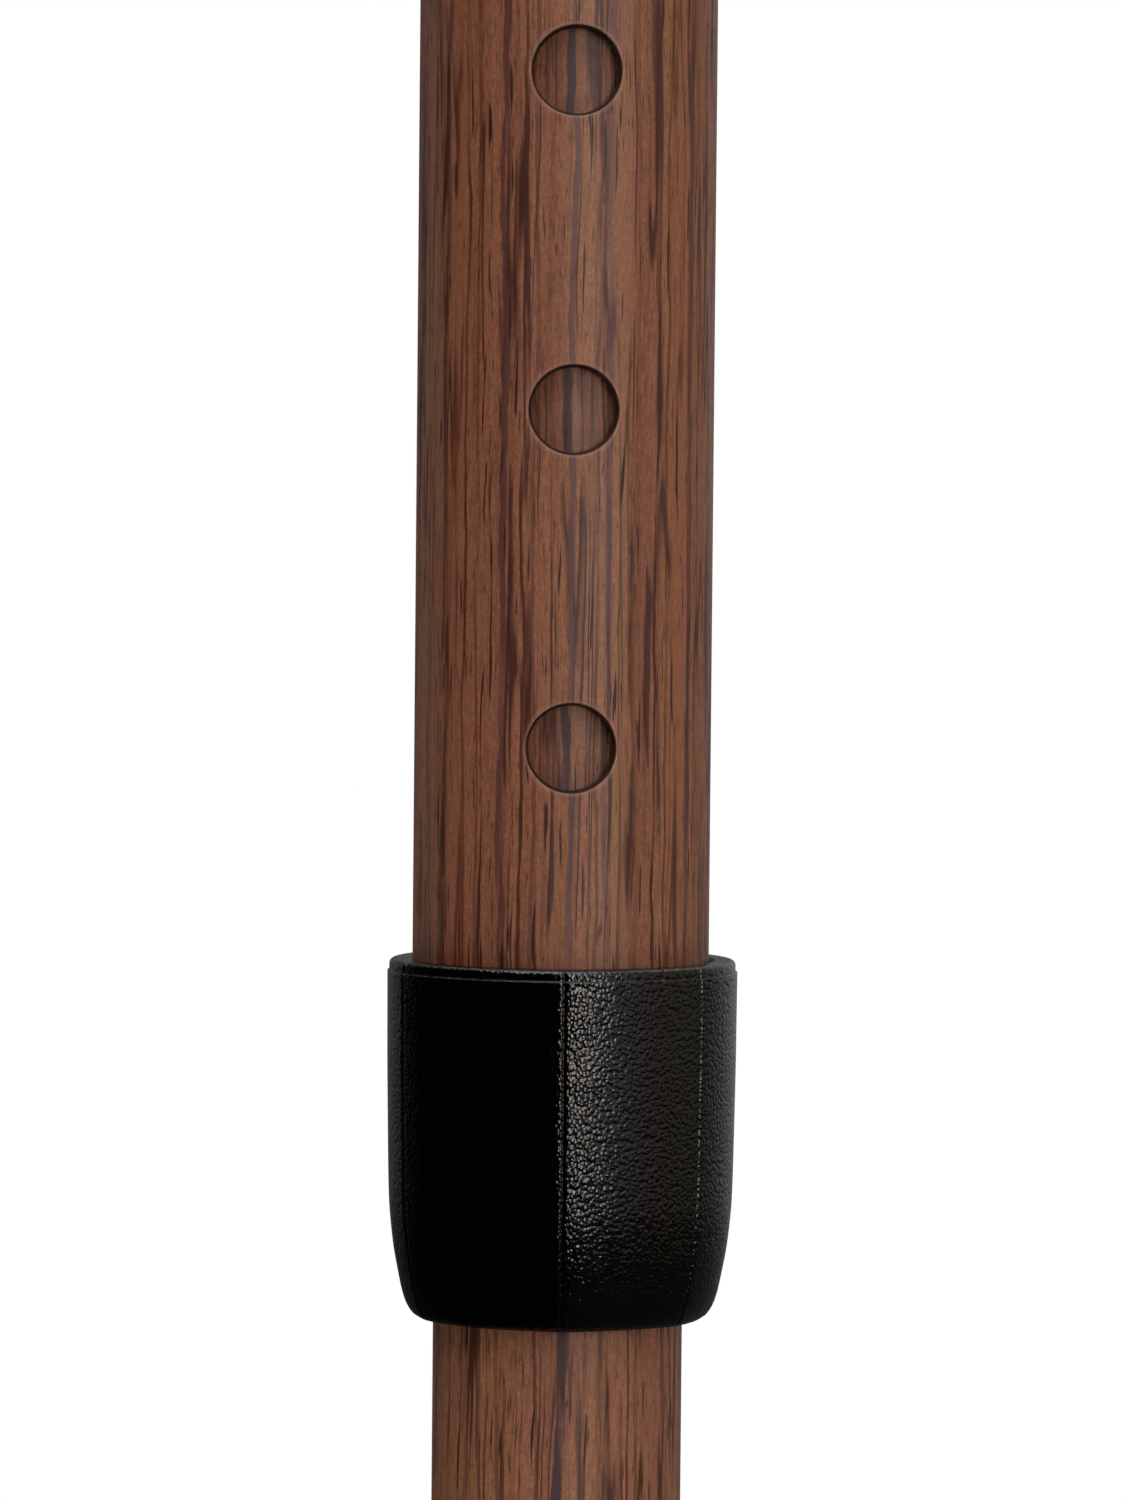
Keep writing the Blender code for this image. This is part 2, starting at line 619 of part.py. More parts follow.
def build_mouth_ring(shop, number, joint_z, frame):
    """The plastic ring that caps the tube above a folding joint."""
    skirt_inner = TUBE_OUTER_RADIUS + PRESS_GAP
    points = [
        (RING_OUTER_RADIUS, RING_LIP + RING_SKIRT),
        (RING_OUTER_RADIUS, 0.0),
        (TUBE_BORE, 0.0),
        (TUBE_BORE, RING_LIP),
        (skirt_inner, RING_LIP),
        (skirt_inner, RING_LIP + RING_SKIRT),
    ]
    base = joint_z + SEAT_GAP
    turned_ring(shop, f"mouth_ring_{number}", points, shop.black_plastic, frame, base)


def build_spigot(shop, number, joint_z, frame):
    """The joint's spigot, whose long nose lets the sections tilt as they part."""
    shank_radius = TUBE_BORE - PRESS_GAP
    shank_top = -SHOULDER_RING_LIP - PRESS_GAP
    nose = []
    for step in range(SPIGOT_NOSE_STEPS + 1):
        share = step / SPIGOT_NOSE_STEPS
        height = SPIGOT_LAND + share * (SPIGOT_HEIGHT - SPIGOT_LAND)
        across = (height - SPIGOT_LAND) / SPIGOT_NOSE_REACH
        nose.append((SPIGOT_RADIUS * math.sqrt(1.0 - across * across), height))
    points = nose[::-1] + [
        (SPIGOT_RADIUS, shank_top),
        (shank_radius, shank_top),
        (shank_radius, shank_top - SPIGOT_SHANK),
        (SPIGOT_BORE_RADIUS, shank_top - SPIGOT_SHANK),
        (SPIGOT_BORE_RADIUS, SPIGOT_HEIGHT),
    ]
    turned_ring(shop, f"spigot_{number}", points, shop.aluminium, frame, joint_z)


def build_section_tube(shop, number, bottom_joint_z, top_z, frame):
    """One of the tubes above the adjuster section."""
    bottom = bottom_joint_z + SEAT_GAP + RING_LIP + PRESS_GAP
    points = tube_points(TUBE_OUTER_RADIUS, TUBE_BORE, top_z - bottom)
    return turned_ring(shop, f"tube_{number}", points, shop.wood_print, frame, bottom)


def build_cord(shop, name, bottom_z, top_z, frame):
    """A straight stretch of the elastic cord, as a bevelled wire."""
    curve = bpy.data.curves.new(name, "CURVE")
    curve.dimensions = "3D"
    curve.bevel_depth = CORD_RADIUS
    curve.bevel_resolution = 2
    curve.use_fill_caps = True
    spline = curve.splines.new("POLY")
    spline.points.add(1)
    spline.points[0].co = (0.0, 0.0, 0.0, 1.0)
    spline.points[1].co = (0.0, 0.0, top_z - bottom_z, 1.0)
    shop.add(name, curve, shop.elastic, frame, (0.0, 0.0, bottom_z))


def build_anchor(shop, name, bottom_z, frame):
    """A plug in a tube's bore with a hole that the cord passes."""
    points = tube_points(TUBE_BORE - PRESS_GAP, ANCHOR_HOLE_RADIUS, ANCHOR_THICKNESS)
    turned_ring(shop, name, points, shop.grey_plastic, frame, bottom_z, SMALL_STEPS * 2)


def build_cord_stop(shop, name, bottom_z, frame):
    """The crimped sleeve that keeps the cord's end from pulling through its anchor."""
    points = tube_points(STOP_RADIUS, CORD_RADIUS + PRESS_GAP, STOP_LENGTH)
    turned_ring(shop, name, points, shop.aluminium, frame, bottom_z, SMALL_STEPS)


def grip_cage():
    """Loft the grip's sections, from the nose to the heel, into a closed cage."""
    shape = bmesh.new()
    rings = []
    for y, middle_z, half_width, half_height in GRIP_STATIONS:
        ring = []
        for step in range(GRIP_RING_POINTS):
            angle = 2.0 * math.pi * step / GRIP_RING_POINTS
            x = half_width * math.cos(angle)
            z = middle_z + half_height * math.sin(angle)
            ring.append(shape.verts.new((x, y, z)))
        rings.append(ring)
    for first, second in zip(rings, rings[1:]):
        for step in range(GRIP_RING_POINTS):
            after = (step + 1) % GRIP_RING_POINTS
            shape.faces.new((first[step], first[after], second[after], second[step]))
    shape.faces.new(rings[0][::-1])
    shape.faces.new(rings[-1])
    bmesh.ops.recalc_face_normals(shape, faces=shape.faces)
    mesh = bpy.data.meshes.new("handle")
    shape.to_mesh(mesh)
    shape.free()
    return mesh


def build_handle(shop, frame):
    """The derby handle, with the neck that stands on the collar."""
    base = (0.0, 0.0, HANDLE_FOOT_Z)
    handle = shop.add("handle", grip_cage(), shop.walnut, frame, base)
    soften = handle.modifiers.new("soften", "SUBSURF")
    soften.levels = 2
    soften.render_levels = 2
    neck_points = [
        (0.0, NECK_HEIGHT),
        (NECK_TOP_RADIUS, NECK_HEIGHT),
        (NECK_FOOT_RADIUS, 0.0),
        (0.0, 0.0),
    ]
    neck = shop.cutter("handle_neck", profile_mesh("handle_neck", neck_points, False), base)
    spin(neck, ROUND_STEPS)
    cut(handle, neck, "UNION")
    bore_radius = STEM_PEG_RADIUS + PRESS_GAP
    depth = STEM_PEG_HEIGHT + SEAT_GAP
    bore = cylinder_mesh("handle_bore", bore_radius, 2 * depth, SMALL_STEPS)
    cut(handle, shop.cutter("handle_bore", bore, base))


def build_handle_fittings(shop, frame):
    """The stem, collar and cross pin that hold the handle on the top tube."""
    shank = TUBE_BORE - PRESS_GAP
    top = HANDLE_FOOT_Z - SEAT_GAP - TOP_TUBE_END_Z
    points = [
        (0.0, top + STEM_PEG_HEIGHT),
        (STEM_PEG_RADIUS, top + STEM_PEG_HEIGHT),
        (STEM_PEG_RADIUS, 0.0),
        (shank, 0.0),
        (shank, -STEM_IN_TUBE),
        (0.0, -STEM_IN_TUBE),
    ]
    stem = turned_solid(shop, "handle_stem", points, shop.aluminium, frame, TOP_TUBE_END_Z)
    skirt_inner = TUBE_OUTER_RADIUS + PRESS_GAP
    lip_bore = STEM_PEG_RADIUS + SEAT_GAP
    ring = [
        (NECK_FOOT_RADIUS, PRESS_GAP + HANDLE_COLLAR_LIP),
        (HANDLE_COLLAR_RADIUS, PRESS_GAP),
        (HANDLE_COLLAR_RADIUS, -HANDLE_COLLAR_SKIRT),
        (skirt_inner, -HANDLE_COLLAR_SKIRT),
        (skirt_inner, PRESS_GAP),
        (lip_bore, PRESS_GAP),
        (lip_bore, PRESS_GAP + HANDLE_COLLAR_LIP),
    ]
    turned_ring(shop, "handle_collar", ring, shop.black_plastic, frame, TOP_TUBE_END_Z)
    pin_z = TOP_TUBE_END_Z - HANDLE_PIN_BELOW_TOP
    across = (0.0, math.pi / 2, 0.0)
    pin = cylinder_mesh("handle_pin", HANDLE_PIN_RADIUS, 2 * TUBE_OUTER_RADIUS, SMALL_STEPS)
    shop.add("handle_pin", pin, shop.steel, frame, (0.0, 0.0, pin_z), across)
    return stem, pin_z


def drill_pin_hole(shop, pieces, pin_z):
    """Drill the cross pin's hole through the top tube and the stem."""
    radius = HANDLE_PIN_RADIUS + PRESS_GAP
    mesh = cylinder_mesh("handle_pin_hole", radius, 4 * TUBE_OUTER_RADIUS, SMALL_STEPS)
    tool = shop.cutter("handle_pin_hole", mesh, (0.0, 0.0, pin_z), (0.0, math.pi / 2, 0.0))
    for piece in pieces:
        cut(piece, tool)


def cord_start(joint_z):
    """Return where the cord of the section above a joint begins."""
    return joint_z + SPIGOT_HEIGHT + CORD_LINK_LENGTH + 2 * SEAT_GAP


def build_fold(shop, number, joint_z, side, parent):
    """Make the frames of one folding joint and its short piece of cord."""
    link = shop.frame(f"pull_{number}_axis", (0.0, 0.0, joint_z), parent)
    bottom = joint_z + SPIGOT_HEIGHT + SEAT_GAP
    build_cord(shop, f"cord_link_{number}", bottom, bottom + CORD_LINK_LENGTH, link)
    pivot = (side * FOLD_PIVOT_OFFSET, 0.0, joint_z)
    return shop.frame(f"fold_{number}_axis", pivot, link)


def build_adjuster_section(shop):
    """Build the held section with the row of holes, and return its frame."""
    frame = shop.frame("adjuster_section", (0.0, 0.0, NUT_TOP_Z))
    build_adjuster_tube(shop, frame)
    build_threaded_bushing(shop, frame)
    build_shoulder_ring(shop, 3, JOINT_3_Z, frame)
    build_spigot(shop, 3, JOINT_3_Z, frame)
    shank_bottom = JOINT_3_Z - SHOULDER_RING_LIP - PRESS_GAP - SPIGOT_SHANK
    anchor_bottom = shank_bottom - SEAT_GAP - ANCHOR_THICKNESS
    stop_bottom = anchor_bottom - SEAT_GAP - STOP_LENGTH
    build_anchor(shop, "lower_cord_anchor", anchor_bottom, frame)
    build_cord_stop(shop, "lower_cord_stop", stop_bottom, frame)
    build_cord(shop, "elastic_cord_4", stop_bottom, JOINT_3_Z + SPIGOT_HEIGHT, frame)
    return frame


def build_lock(shop, parent):
    """Build the collet and the nut that travel together."""
    collet_frame = shop.frame("collet_axis", (0.0, 0.0, NUT_BOTTOM_Z), parent)
    build_collet(shop, collet_frame)
    nut_frame = shop.frame("nut_axis", (0.0, 0.0, NUT_BOTTOM_Z), collet_frame)
    build_lock_nut(shop, nut_frame)


def build_lower_section(shop, parent):
    """Build the sliding section with the foot and the snap button."""
    frame = shop.frame("lower_section", (0.0, 0.0, LOWER_TUBE_BOTTOM_Z), parent)
    build_lower_tube(shop, frame)
    build_guide_bush(shop, frame)
    build_ferrule(shop, frame)
    build_button_spring(shop, frame)
    button_frame = shop.frame("button_axis", (0.0, 0.0, BUTTON_Z), frame)
    build_snap_button(shop, button_frame)


def build_middle_section(shop, number, bottom_joint_z, top_joint_z, frame):
    """Build a tube with a socket at its foot and a spigot at its head."""
    top_end = top_joint_z - SHOULDER_RING_LIP - PRESS_GAP
    build_section_tube(shop, number, bottom_joint_z, top_end, frame)
    build_mouth_ring(shop, number, bottom_joint_z, frame)
    build_shoulder_ring(shop, number - 1, top_joint_z, frame)
    build_spigot(shop, number - 1, top_joint_z, frame)
    name = f"elastic_cord_{number}"
    build_cord(shop, name, cord_start(bottom_joint_z), top_joint_z + SPIGOT_HEIGHT, frame)


def build_top_section(shop, frame):
    """Build the top tube with the handle and the cord's upper end."""
    tube = build_section_tube(shop, 1, JOINT_1_Z, TOP_TUBE_END_Z, frame)
    build_mouth_ring(shop, 1, JOINT_1_Z, frame)
    stem, pin_z = build_handle_fittings(shop, frame)
    drill_pin_hole(shop, (tube, stem), pin_z)
    build_handle(shop, frame)
    stop_top = TOP_TUBE_END_Z - STEM_IN_TUBE - TOP_ANCHOR_BELOW_STEM
    stop_bottom = stop_top - STOP_LENGTH
    anchor_bottom = stop_bottom - SEAT_GAP - ANCHOR_THICKNESS
    build_anchor(shop, "upper_cord_anchor", anchor_bottom, frame)
    build_cord_stop(shop, "upper_cord_stop", stop_bottom, frame)
    build_cord(shop, "elastic_cord_1", cord_start(JOINT_1_Z), stop_top, frame)


def build_cane():
    """Build every section, from the held one outwards."""
    shop = Shop()
    adjuster = build_adjuster_section(shop)
    build_lock(shop, adjuster)
    build_lower_section(shop, adjuster)
    third = build_fold(shop, 3, JOINT_3_Z, 1.0, adjuster)
    build_middle_section(shop, 3, JOINT_3_Z, JOINT_2_Z, third)
    second = build_fold(shop, 2, JOINT_2_Z, -1.0, third)
    build_middle_section(shop, 2, JOINT_2_Z, JOINT_1_Z, second)
    top = build_fold(shop, 1, JOINT_1_Z, 1.0, second)
    build_top_section(shop, top)


clear_scene()
build_cane()
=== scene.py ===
"""Folding walking cane, dressed for a studio picture of its height lock.

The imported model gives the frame: every piece here stands in its space, in metres, with the
cane upright on the origin and the height holes facing -Y. A size that is named for a round
part alone, such as a tube, a hole, a bore or a ring, is its radius.
"""
import logging
import math
from dataclasses import dataclass, field
from enum import Enum
from typing import Any, Iterable, Optional, Sequence, Union

import bmesh
import bpy
from mathutils import Matrix, Vector
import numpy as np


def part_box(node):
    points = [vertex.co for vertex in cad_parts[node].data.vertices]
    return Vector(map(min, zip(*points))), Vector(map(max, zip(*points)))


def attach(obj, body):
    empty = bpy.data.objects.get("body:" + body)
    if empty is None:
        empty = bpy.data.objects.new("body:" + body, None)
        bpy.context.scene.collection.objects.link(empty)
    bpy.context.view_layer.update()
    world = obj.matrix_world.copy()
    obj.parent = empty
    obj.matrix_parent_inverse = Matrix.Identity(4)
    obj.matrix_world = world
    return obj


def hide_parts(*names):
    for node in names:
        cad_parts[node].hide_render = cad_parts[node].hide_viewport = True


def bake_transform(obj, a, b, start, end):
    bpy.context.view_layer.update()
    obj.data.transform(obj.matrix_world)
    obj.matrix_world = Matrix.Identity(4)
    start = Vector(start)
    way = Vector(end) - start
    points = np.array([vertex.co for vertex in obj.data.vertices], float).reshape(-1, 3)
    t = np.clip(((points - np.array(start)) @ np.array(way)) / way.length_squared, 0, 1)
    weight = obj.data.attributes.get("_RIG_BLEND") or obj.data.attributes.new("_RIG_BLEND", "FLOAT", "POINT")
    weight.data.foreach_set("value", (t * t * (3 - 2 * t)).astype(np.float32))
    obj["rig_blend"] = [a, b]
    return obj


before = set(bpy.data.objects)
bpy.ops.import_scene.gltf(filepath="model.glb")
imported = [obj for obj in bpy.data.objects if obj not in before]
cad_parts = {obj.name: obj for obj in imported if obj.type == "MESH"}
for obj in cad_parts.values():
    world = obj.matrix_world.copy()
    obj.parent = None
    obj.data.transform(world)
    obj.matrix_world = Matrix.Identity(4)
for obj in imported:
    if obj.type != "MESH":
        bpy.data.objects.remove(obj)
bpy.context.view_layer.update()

LOG = logging.getLogger("folding_walking_cane")

MM = 0.001
PHOTO_HEIGHT_PX = 1500
TUBE_MM = 11.1
TUBE_WALL_MM = 1.0
INNER_TUBE_MM = 9.35
INNER_WALL_MM = 1.2
TUBE_RIM_MM = 0.12
COLLAR_RIM_MM = 0.85
CORD_MM = 1.6
TOUCHING = 1e-7

Point = tuple[float, float]
Corner = tuple[float, float, float]
Inputs = Union[Sequence[Any], dict[Any, Any]]

SMOOTH = {"interpolation_type": "SMOOTHSTEP"}

# A fillet is left out at a nearly straight corner, and takes at most this share of an edge. Its
# holding points, which keep the flats flat, stand off by shares of its size and of the edge.
NEARLY_STRAIGHT = math.radians(87.0)
EDGE_SHARE = 0.45
HOLD_SIZE = 0.35
HOLD_SHARE = 0.1


# Nodes, colours and meshes


def linear(code: str) -> tuple[float, float, float, float]:
    """Turn an sRGB hex colour into Blender's linear colour.

    Args:
        code: The colour as "#rrggbb".

    Returns:
        Red, green, blue and alpha.
    """
    channels = [int(code[start:start + 2], 16) / 255.0 for start in (1, 3, 5)]
    bent = [c / 12.92 if c <= 0.04045 else ((c + 0.055) / 1.055) ** 2.4 for c in channels]
    return (*bent, 1.0)


def wire(tree: bpy.types.NodeTree, node: bpy.types.Node, inputs: Inputs) -> None:
    """Set or link a node's inputs.

    Args:
        tree: The node's tree.
        node: The node.
        inputs: Numbers, colours, sockets or nodes, by input name or number, or in the order
            of the inputs in use. A node stands for the first of its outputs in use.
    """
    if isinstance(inputs, dict):
        pairs = [(node.inputs[key], value) for key, value in inputs.items()]
    else:
        pairs = list(zip([socket for socket in node.inputs if socket.enabled], inputs))
    for socket, value in pairs:
        if isinstance(value, bpy.types.Node):
            value = next(output for output in value.outputs if output.enabled)
        if isinstance(value, bpy.types.NodeSocket):
            tree.links.new(value, socket)
        else:
            socket.default_value = value


def add(tree: bpy.types.NodeTree, kind: str, inputs: Inputs = (), **settings: Any) -> bpy.types.Node:
    """Add a node with its settings, its values and its links.

    Args:
        tree: The tree that gets the node.
        kind: The node's type.
        inputs: What its inputs get, as wire takes them.
        **settings: The node's own properties.

    Returns:
        The new node.
    """
    node = tree.nodes.new(kind)
    for name, value in settings.items():
        setattr(node, name, value)
    wire(tree, node, inputs)
    return node


def millimetres(tree: bpy.types.NodeTree) -> bpy.types.Node:
    """Return the object's own coordinates in millimetres."""
    own = add(tree, "ShaderNodeTexCoord").outputs["Object"]
    return add(tree, "ShaderNodeMapping", {"Vector": own, "Scale": (1.0 / MM,) * 3})


def angle_from_front(tree: bpy.types.NodeTree, split: bpy.types.Node) -> bpy.types.Node:
    """Return the angle round the cane's axis, from -Y towards +X, of separated coordinates."""
    front = add(tree, "ShaderNodeMath", (split.outputs["Y"], -1.0), operation="MULTIPLY")
    return add(tree, "ShaderNodeMath", (split.outputs["X"], front), operation="ARCTAN2")


def distance_from_axis(tree: bpy.types.NodeTree, split: bpy.types.Node) -> bpy.types.Node:
    """Return the distance from the cane's axis of separated coordinates.

    Args:
        tree: The tree that gets the nodes.
        split: A Separate XYZ node.

    Returns:
        The node that gives the distance.
    """
    squares = [add(tree, "ShaderNodeMath", (split.outputs[a],) * 2, operation="MULTIPLY") for a in "XY"]
    total = add(tree, "ShaderNodeMath", squares, operation="ADD")
    return add(tree, "ShaderNodeMath", (total,), operation="SQRT")


def filleted(corners: Sequence[Corner], closed: bool, steps: int = 4) -> list[Point]:
    """Round an outline's corners, with a holding point beside each arc.

    Args:
        corners: Radius, height and fillet radius of each corner.
        closed: Whether the last corner joins the first.
        steps: Segments in each arc.

    Returns:
        The outline's points.
    """
    count = len(corners)
    points: list[Point] = []
    for index, (radius, height, fillet) in enumerate(corners):
        here = Vector((radius, height))
        open_end = not closed and index in (0, count - 1)
        if fillet <= 0.0 or open_end:
            points.append((radius, height))
            continue
        before = Vector(corners[index - 1][:2])
        after = Vector(corners[(index + 1) % count][:2])
        inward = (before - here).normalized()
        onward = (after - here).normalized()
        half = inward.angle(onward) / 2.0
        if half > NEARLY_STRAIGHT:
            points.append((radius, height))
            continue
        shorter = min((before - here).length, (after - here).length)
        reach = min(fillet / math.tan(half), EDGE_SHARE * shorter)
        size = reach * math.tan(half)
        middle = here + (inward + onward).normalized() * (size / math.sin(half))
        first = here + inward * reach
        last = here + onward * reach
        start = first - middle
        end = last - middle
        hold = min(HOLD_SIZE * size, HOLD_SHARE * (before - here).length)
        points.append(tuple(first + inward * hold))
        total = start.angle(end)
        for step in range(steps + 1):
            share = step / steps
            one = math.sin((1.0 - share) * total) / math.sin(total)
            two = math.sin(share * total) / math.sin(total)
            points.append(tuple(middle + start * one + end * two))
        hold = min(HOLD_SIZE * size, HOLD_SHARE * (after - here).length)
        points.append(tuple(last + onward * hold))
    return points


def even_angles(steps: int) -> list[float]:
    """Return evenly spaced angles round a full turn."""
    return [2.0 * math.pi * step / steps for step in range(steps)]


def lathed(
    name: str,
    outline: Sequence[Point],
    closed: bool,
    angles: Sequence[float],
    skin: Optional[Sequence[float]] = None,
) -> bpy.types.Mesh:
    """Turn an outline about the cane's axis.

    Args:
        name: The mesh's name.
        outline: Radius and height of each point; radius 0 makes a pole.
        closed: Whether the outline closes on itself.
        angles: Angles from -Y towards +X, in radians.
        skin: A value for each outline point, kept as the vertex attribute "skin".

    Returns:
        A closed mesh with smooth faces.
    """
    shape = bmesh.new()
    layer = shape.verts.layers.float.new("skin") if skin is not None else None
    rings: list[list[bmesh.types.BMVert]] = []
    for index, (radius, height) in enumerate(outline):
        if radius < TOUCHING:
            ring = [shape.verts.new((0.0, 0.0, height))] * len(angles)
        else:
            ring = [
                shape.verts.new((radius * math.sin(a), -radius * math.cos(a), height))
                for a in angles
            ]
        if layer is not None:
            for corner in ring:
                corner[layer] = skin[index]
        rings.append(ring)
    pairs = list(zip(rings, rings[1:]))
    if closed:
        pairs.append((rings[-1], rings[0]))
    for low, high in pairs:
        for step in range(len(angles)):
            after = (step + 1) % len(angles)
            corners = [low[step], low[after], high[after], high[step]]
            kept = list(dict.fromkeys(corners))
            if len(kept) > 2:
                shape.faces.new(kept)
    return finished(name, shape)


def finished(name: str, shape: bmesh.types.BMesh, weld: float = TOUCHING) -> bpy.types.Mesh:
    """Weld a shape, turn its faces outwards, smooth it and make it a mesh.

    Args:
        name: The mesh's name.
        shape: The shape, which is freed.
        weld: Distance within which points are one.

    Returns:
        The finished mesh.
    """
    bmesh.ops.remove_doubles(shape, verts=shape.verts, dist=weld)
    bmesh.ops.recalc_face_normals(shape, faces=shape.faces)
    for face in shape.faces:
        face.smooth = True
    mesh = bpy.data.meshes.new(name)
    shape.to_mesh(mesh)
    shape.free()
    return mesh


def joined(name: str, meshes: Iterable[bpy.types.Mesh], weld: float) -> bpy.types.Mesh:
    """Join meshes into one, with touching points welded.

    Args:
        name: The mesh's name.
        meshes: The meshes.
        weld: Distance within which points are one.

    Returns:
        The joined mesh.
    """
    shape = bmesh.new()
    for mesh in meshes:
        shape.from_mesh(mesh)
    return finished(name, shape, weld)


def place(
    name: str,
    mesh: bpy.types.Mesh,
    material: bpy.types.Material,
    body: str,
    slot: str,
    replaces: Sequence[str] = (),
) -> bpy.types.Object:
    """Put a finished mesh in the scene as a piece of the cane.

    Args:
        name: The piece's name.
        mesh: Its mesh, in the cane's own space.
        material: Its finish.
        body: The body that it rides on.
        slot: The record's material slot for that finish; not used.
        replaces: The nodes that it stands for.

    Returns:
        The piece.
    """
    mesh.materials.clear()
    mesh.materials.append(material)
    piece = bpy.data.objects.new(name, mesh)
    bpy.context.scene.collection.objects.link(piece)
    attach(piece, body)
    if replaces:
        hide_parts(*replaces)
    LOG.info("%s rides on %s with %d faces", name, body, len(mesh.polygons))
    return piece


# Geometry Nodes


@dataclass
class RuleTree:
    """A Geometry Nodes tree that is built in script and applied to a mesh."""

    name: str
    sizes: dict[str, float]
    tree: bpy.types.NodeTree = field(init=False)
    given: bpy.types.Node = field(init=False)

    def __post_init__(self) -> None:
        """Make the tree with its geometry and its named inputs."""
        self.tree = bpy.data.node_groups.new(self.name, "GeometryNodeTree")
        face = self.tree.interface
        face.new_socket("Geometry", in_out="INPUT", socket_type="NodeSocketGeometry")
        for name, size in self.sizes.items():
            kind = "NodeSocketInt" if isinstance(size, int) else "NodeSocketFloat"
            face.new_socket(name, in_out="INPUT", socket_type=kind)
        face.new_socket("Geometry", in_out="OUTPUT", socket_type="NodeSocketGeometry")
        self.given = self.tree.nodes.new("NodeGroupInput")

    def size(self, name: str) -> bpy.types.NodeSocket:
        """Return the output of a named input."""
        return self.given.outputs[name]

    def close(self, geometry: bpy.types.Node, material: bpy.types.Material) -> None:
        """End the tree in Realize Instances and Set Material.

        Args:
            geometry: The node that gives the finished shape.
            material: Its finish.
        """
        real = add(self.tree, "GeometryNodeRealizeInstances", (geometry,))
        dressed = add(self.tree, "GeometryNodeSetMaterial", {"Geometry": real, "Material": material})
        add(self.tree, "NodeGroupOutput", {"Geometry": dressed})

    def applied(self, mesh: bpy.types.Mesh) -> bpy.types.Mesh:
        """Run the tree on a mesh.

        Args:
            mesh: The mesh that the tree is given.

        Returns:
            The result as a plain mesh.
        """
        carrier = bpy.data.objects.new(self.name, mesh)
        bpy.context.scene.collection.objects.link(carrier)
        modifier = carrier.modifiers.new(self.name, "NODES")
        modifier.node_group = self.tree
        for item in self.tree.interface.items_tree:
            if item.item_type == "SOCKET" and item.name in self.sizes:
                modifier[item.identifier] = self.sizes[item.name]
        graph = bpy.context.evaluated_depsgraph_get()
        result = bpy.data.meshes.new_from_object(carrier.evaluated_get(graph), depsgraph=graph)
        bpy.data.objects.remove(carrier)
        result.name = self.name
        return result


# Finishes


@dataclass(frozen=True)
class SurfaceFinish:
    """A finish, named for what the real surface is and how it was made."""

    name: str

    def surface(self, tree: bpy.types.NodeTree, place_mm: bpy.types.Node) -> dict[str, Any]:
        """Return what the surface shader's inputs get, from coordinates in millimetres."""
        raise NotImplementedError

    def build(self) -> bpy.types.Material:
        """Make the material.

        Returns:
            The material, with its patterns on the object's own coordinates.
        """
        material = bpy.data.materials.new(self.name)
        material.use_nodes = True
        tree = material.node_tree
        wire(tree, tree.nodes["Principled BSDF"], self.surface(tree, millimetres(tree)))
        return material


@dataclass(frozen=True)
class Tint:
    """A colour that comes in as a noise passes from one level to another."""

    start: float
    full: float
    share: float
    colour: str


@dataclass(frozen=True)
class TintedNoise:
    """A noise with its own waves per millimetre along each axis, and the tints it lays."""

    per_mm: Corner
    tints: tuple[Tint, ...]
    detail: float = 2.0
    roughness: float = 0.5
    shift: Corner = (0.0, 0.0, 0.0)

    def over(self, tree: bpy.types.NodeTree, place_mm: bpy.types.Node, colour: Any) -> bpy.types.Node:
        """Lay the tints over a colour.

        Args:
            tree: The material's nodes.
            place_mm: Coordinates in millimetres.
            colour: The colour so far.

        Returns:
            The tinted colour.
        """
        drawn = {"Vector": place_mm, "Scale": self.per_mm, "Location": self.shift}
        place = add(tree, "ShaderNodeMapping", drawn)
        waves = add(tree, "ShaderNodeTexNoise", (place, 1.0, self.detail, self.roughness))
        for tint in self.tints:
            levels = (waves, tint.start, tint.full, 0.0, tint.share)
            amount = add(tree, "ShaderNodeMapRange", levels, **SMOOTH)
            colour = add(tree, "ShaderNodeMix", (amount, colour, linear(tint.colour)), data_type="RGBA")
        return colour


@dataclass(frozen=True)
class Vein:
    """Thin winding lines of the print, drawn where a long noise crosses a level."""

    per_mm: float
    level: float
    half_width: float
    colour: str
    run: float = 0.022

    def line(self, tree: bpy.types.NodeTree, grain: bpy.types.Node) -> bpy.types.Node:
        """Draw the lines.

        Args:
            tree: The material's nodes.
            grain: The print's coordinates in millimetres.

        Returns:
            1 on a line and 0 beside it.
        """
        scale = (self.per_mm, self.per_mm, self.per_mm * self.run)
        place = add(tree, "ShaderNodeMapping", {"Vector": grain, "Scale": scale})
        waves = add(tree, "ShaderNodeTexNoise", (place, 1.0, 1.0))
        gap = add(tree, "ShaderNodeMath", (waves, self.level), operation="SUBTRACT")
        off = add(tree, "ShaderNodeMath", (gap,), operation="ABSOLUTE")
        levels = (off, self.half_width * 0.25, self.half_width, 1.0, 0.0)
        return add(tree, "ShaderNodeMapRange", levels, **SMOOTH)


@dataclass(frozen=True)
class Streak:
    """A long dark or light stripe in the wood print, at an angle from the holes' side."""

    angle_deg: float
    width_mm: float
    strength: float
    colour: str


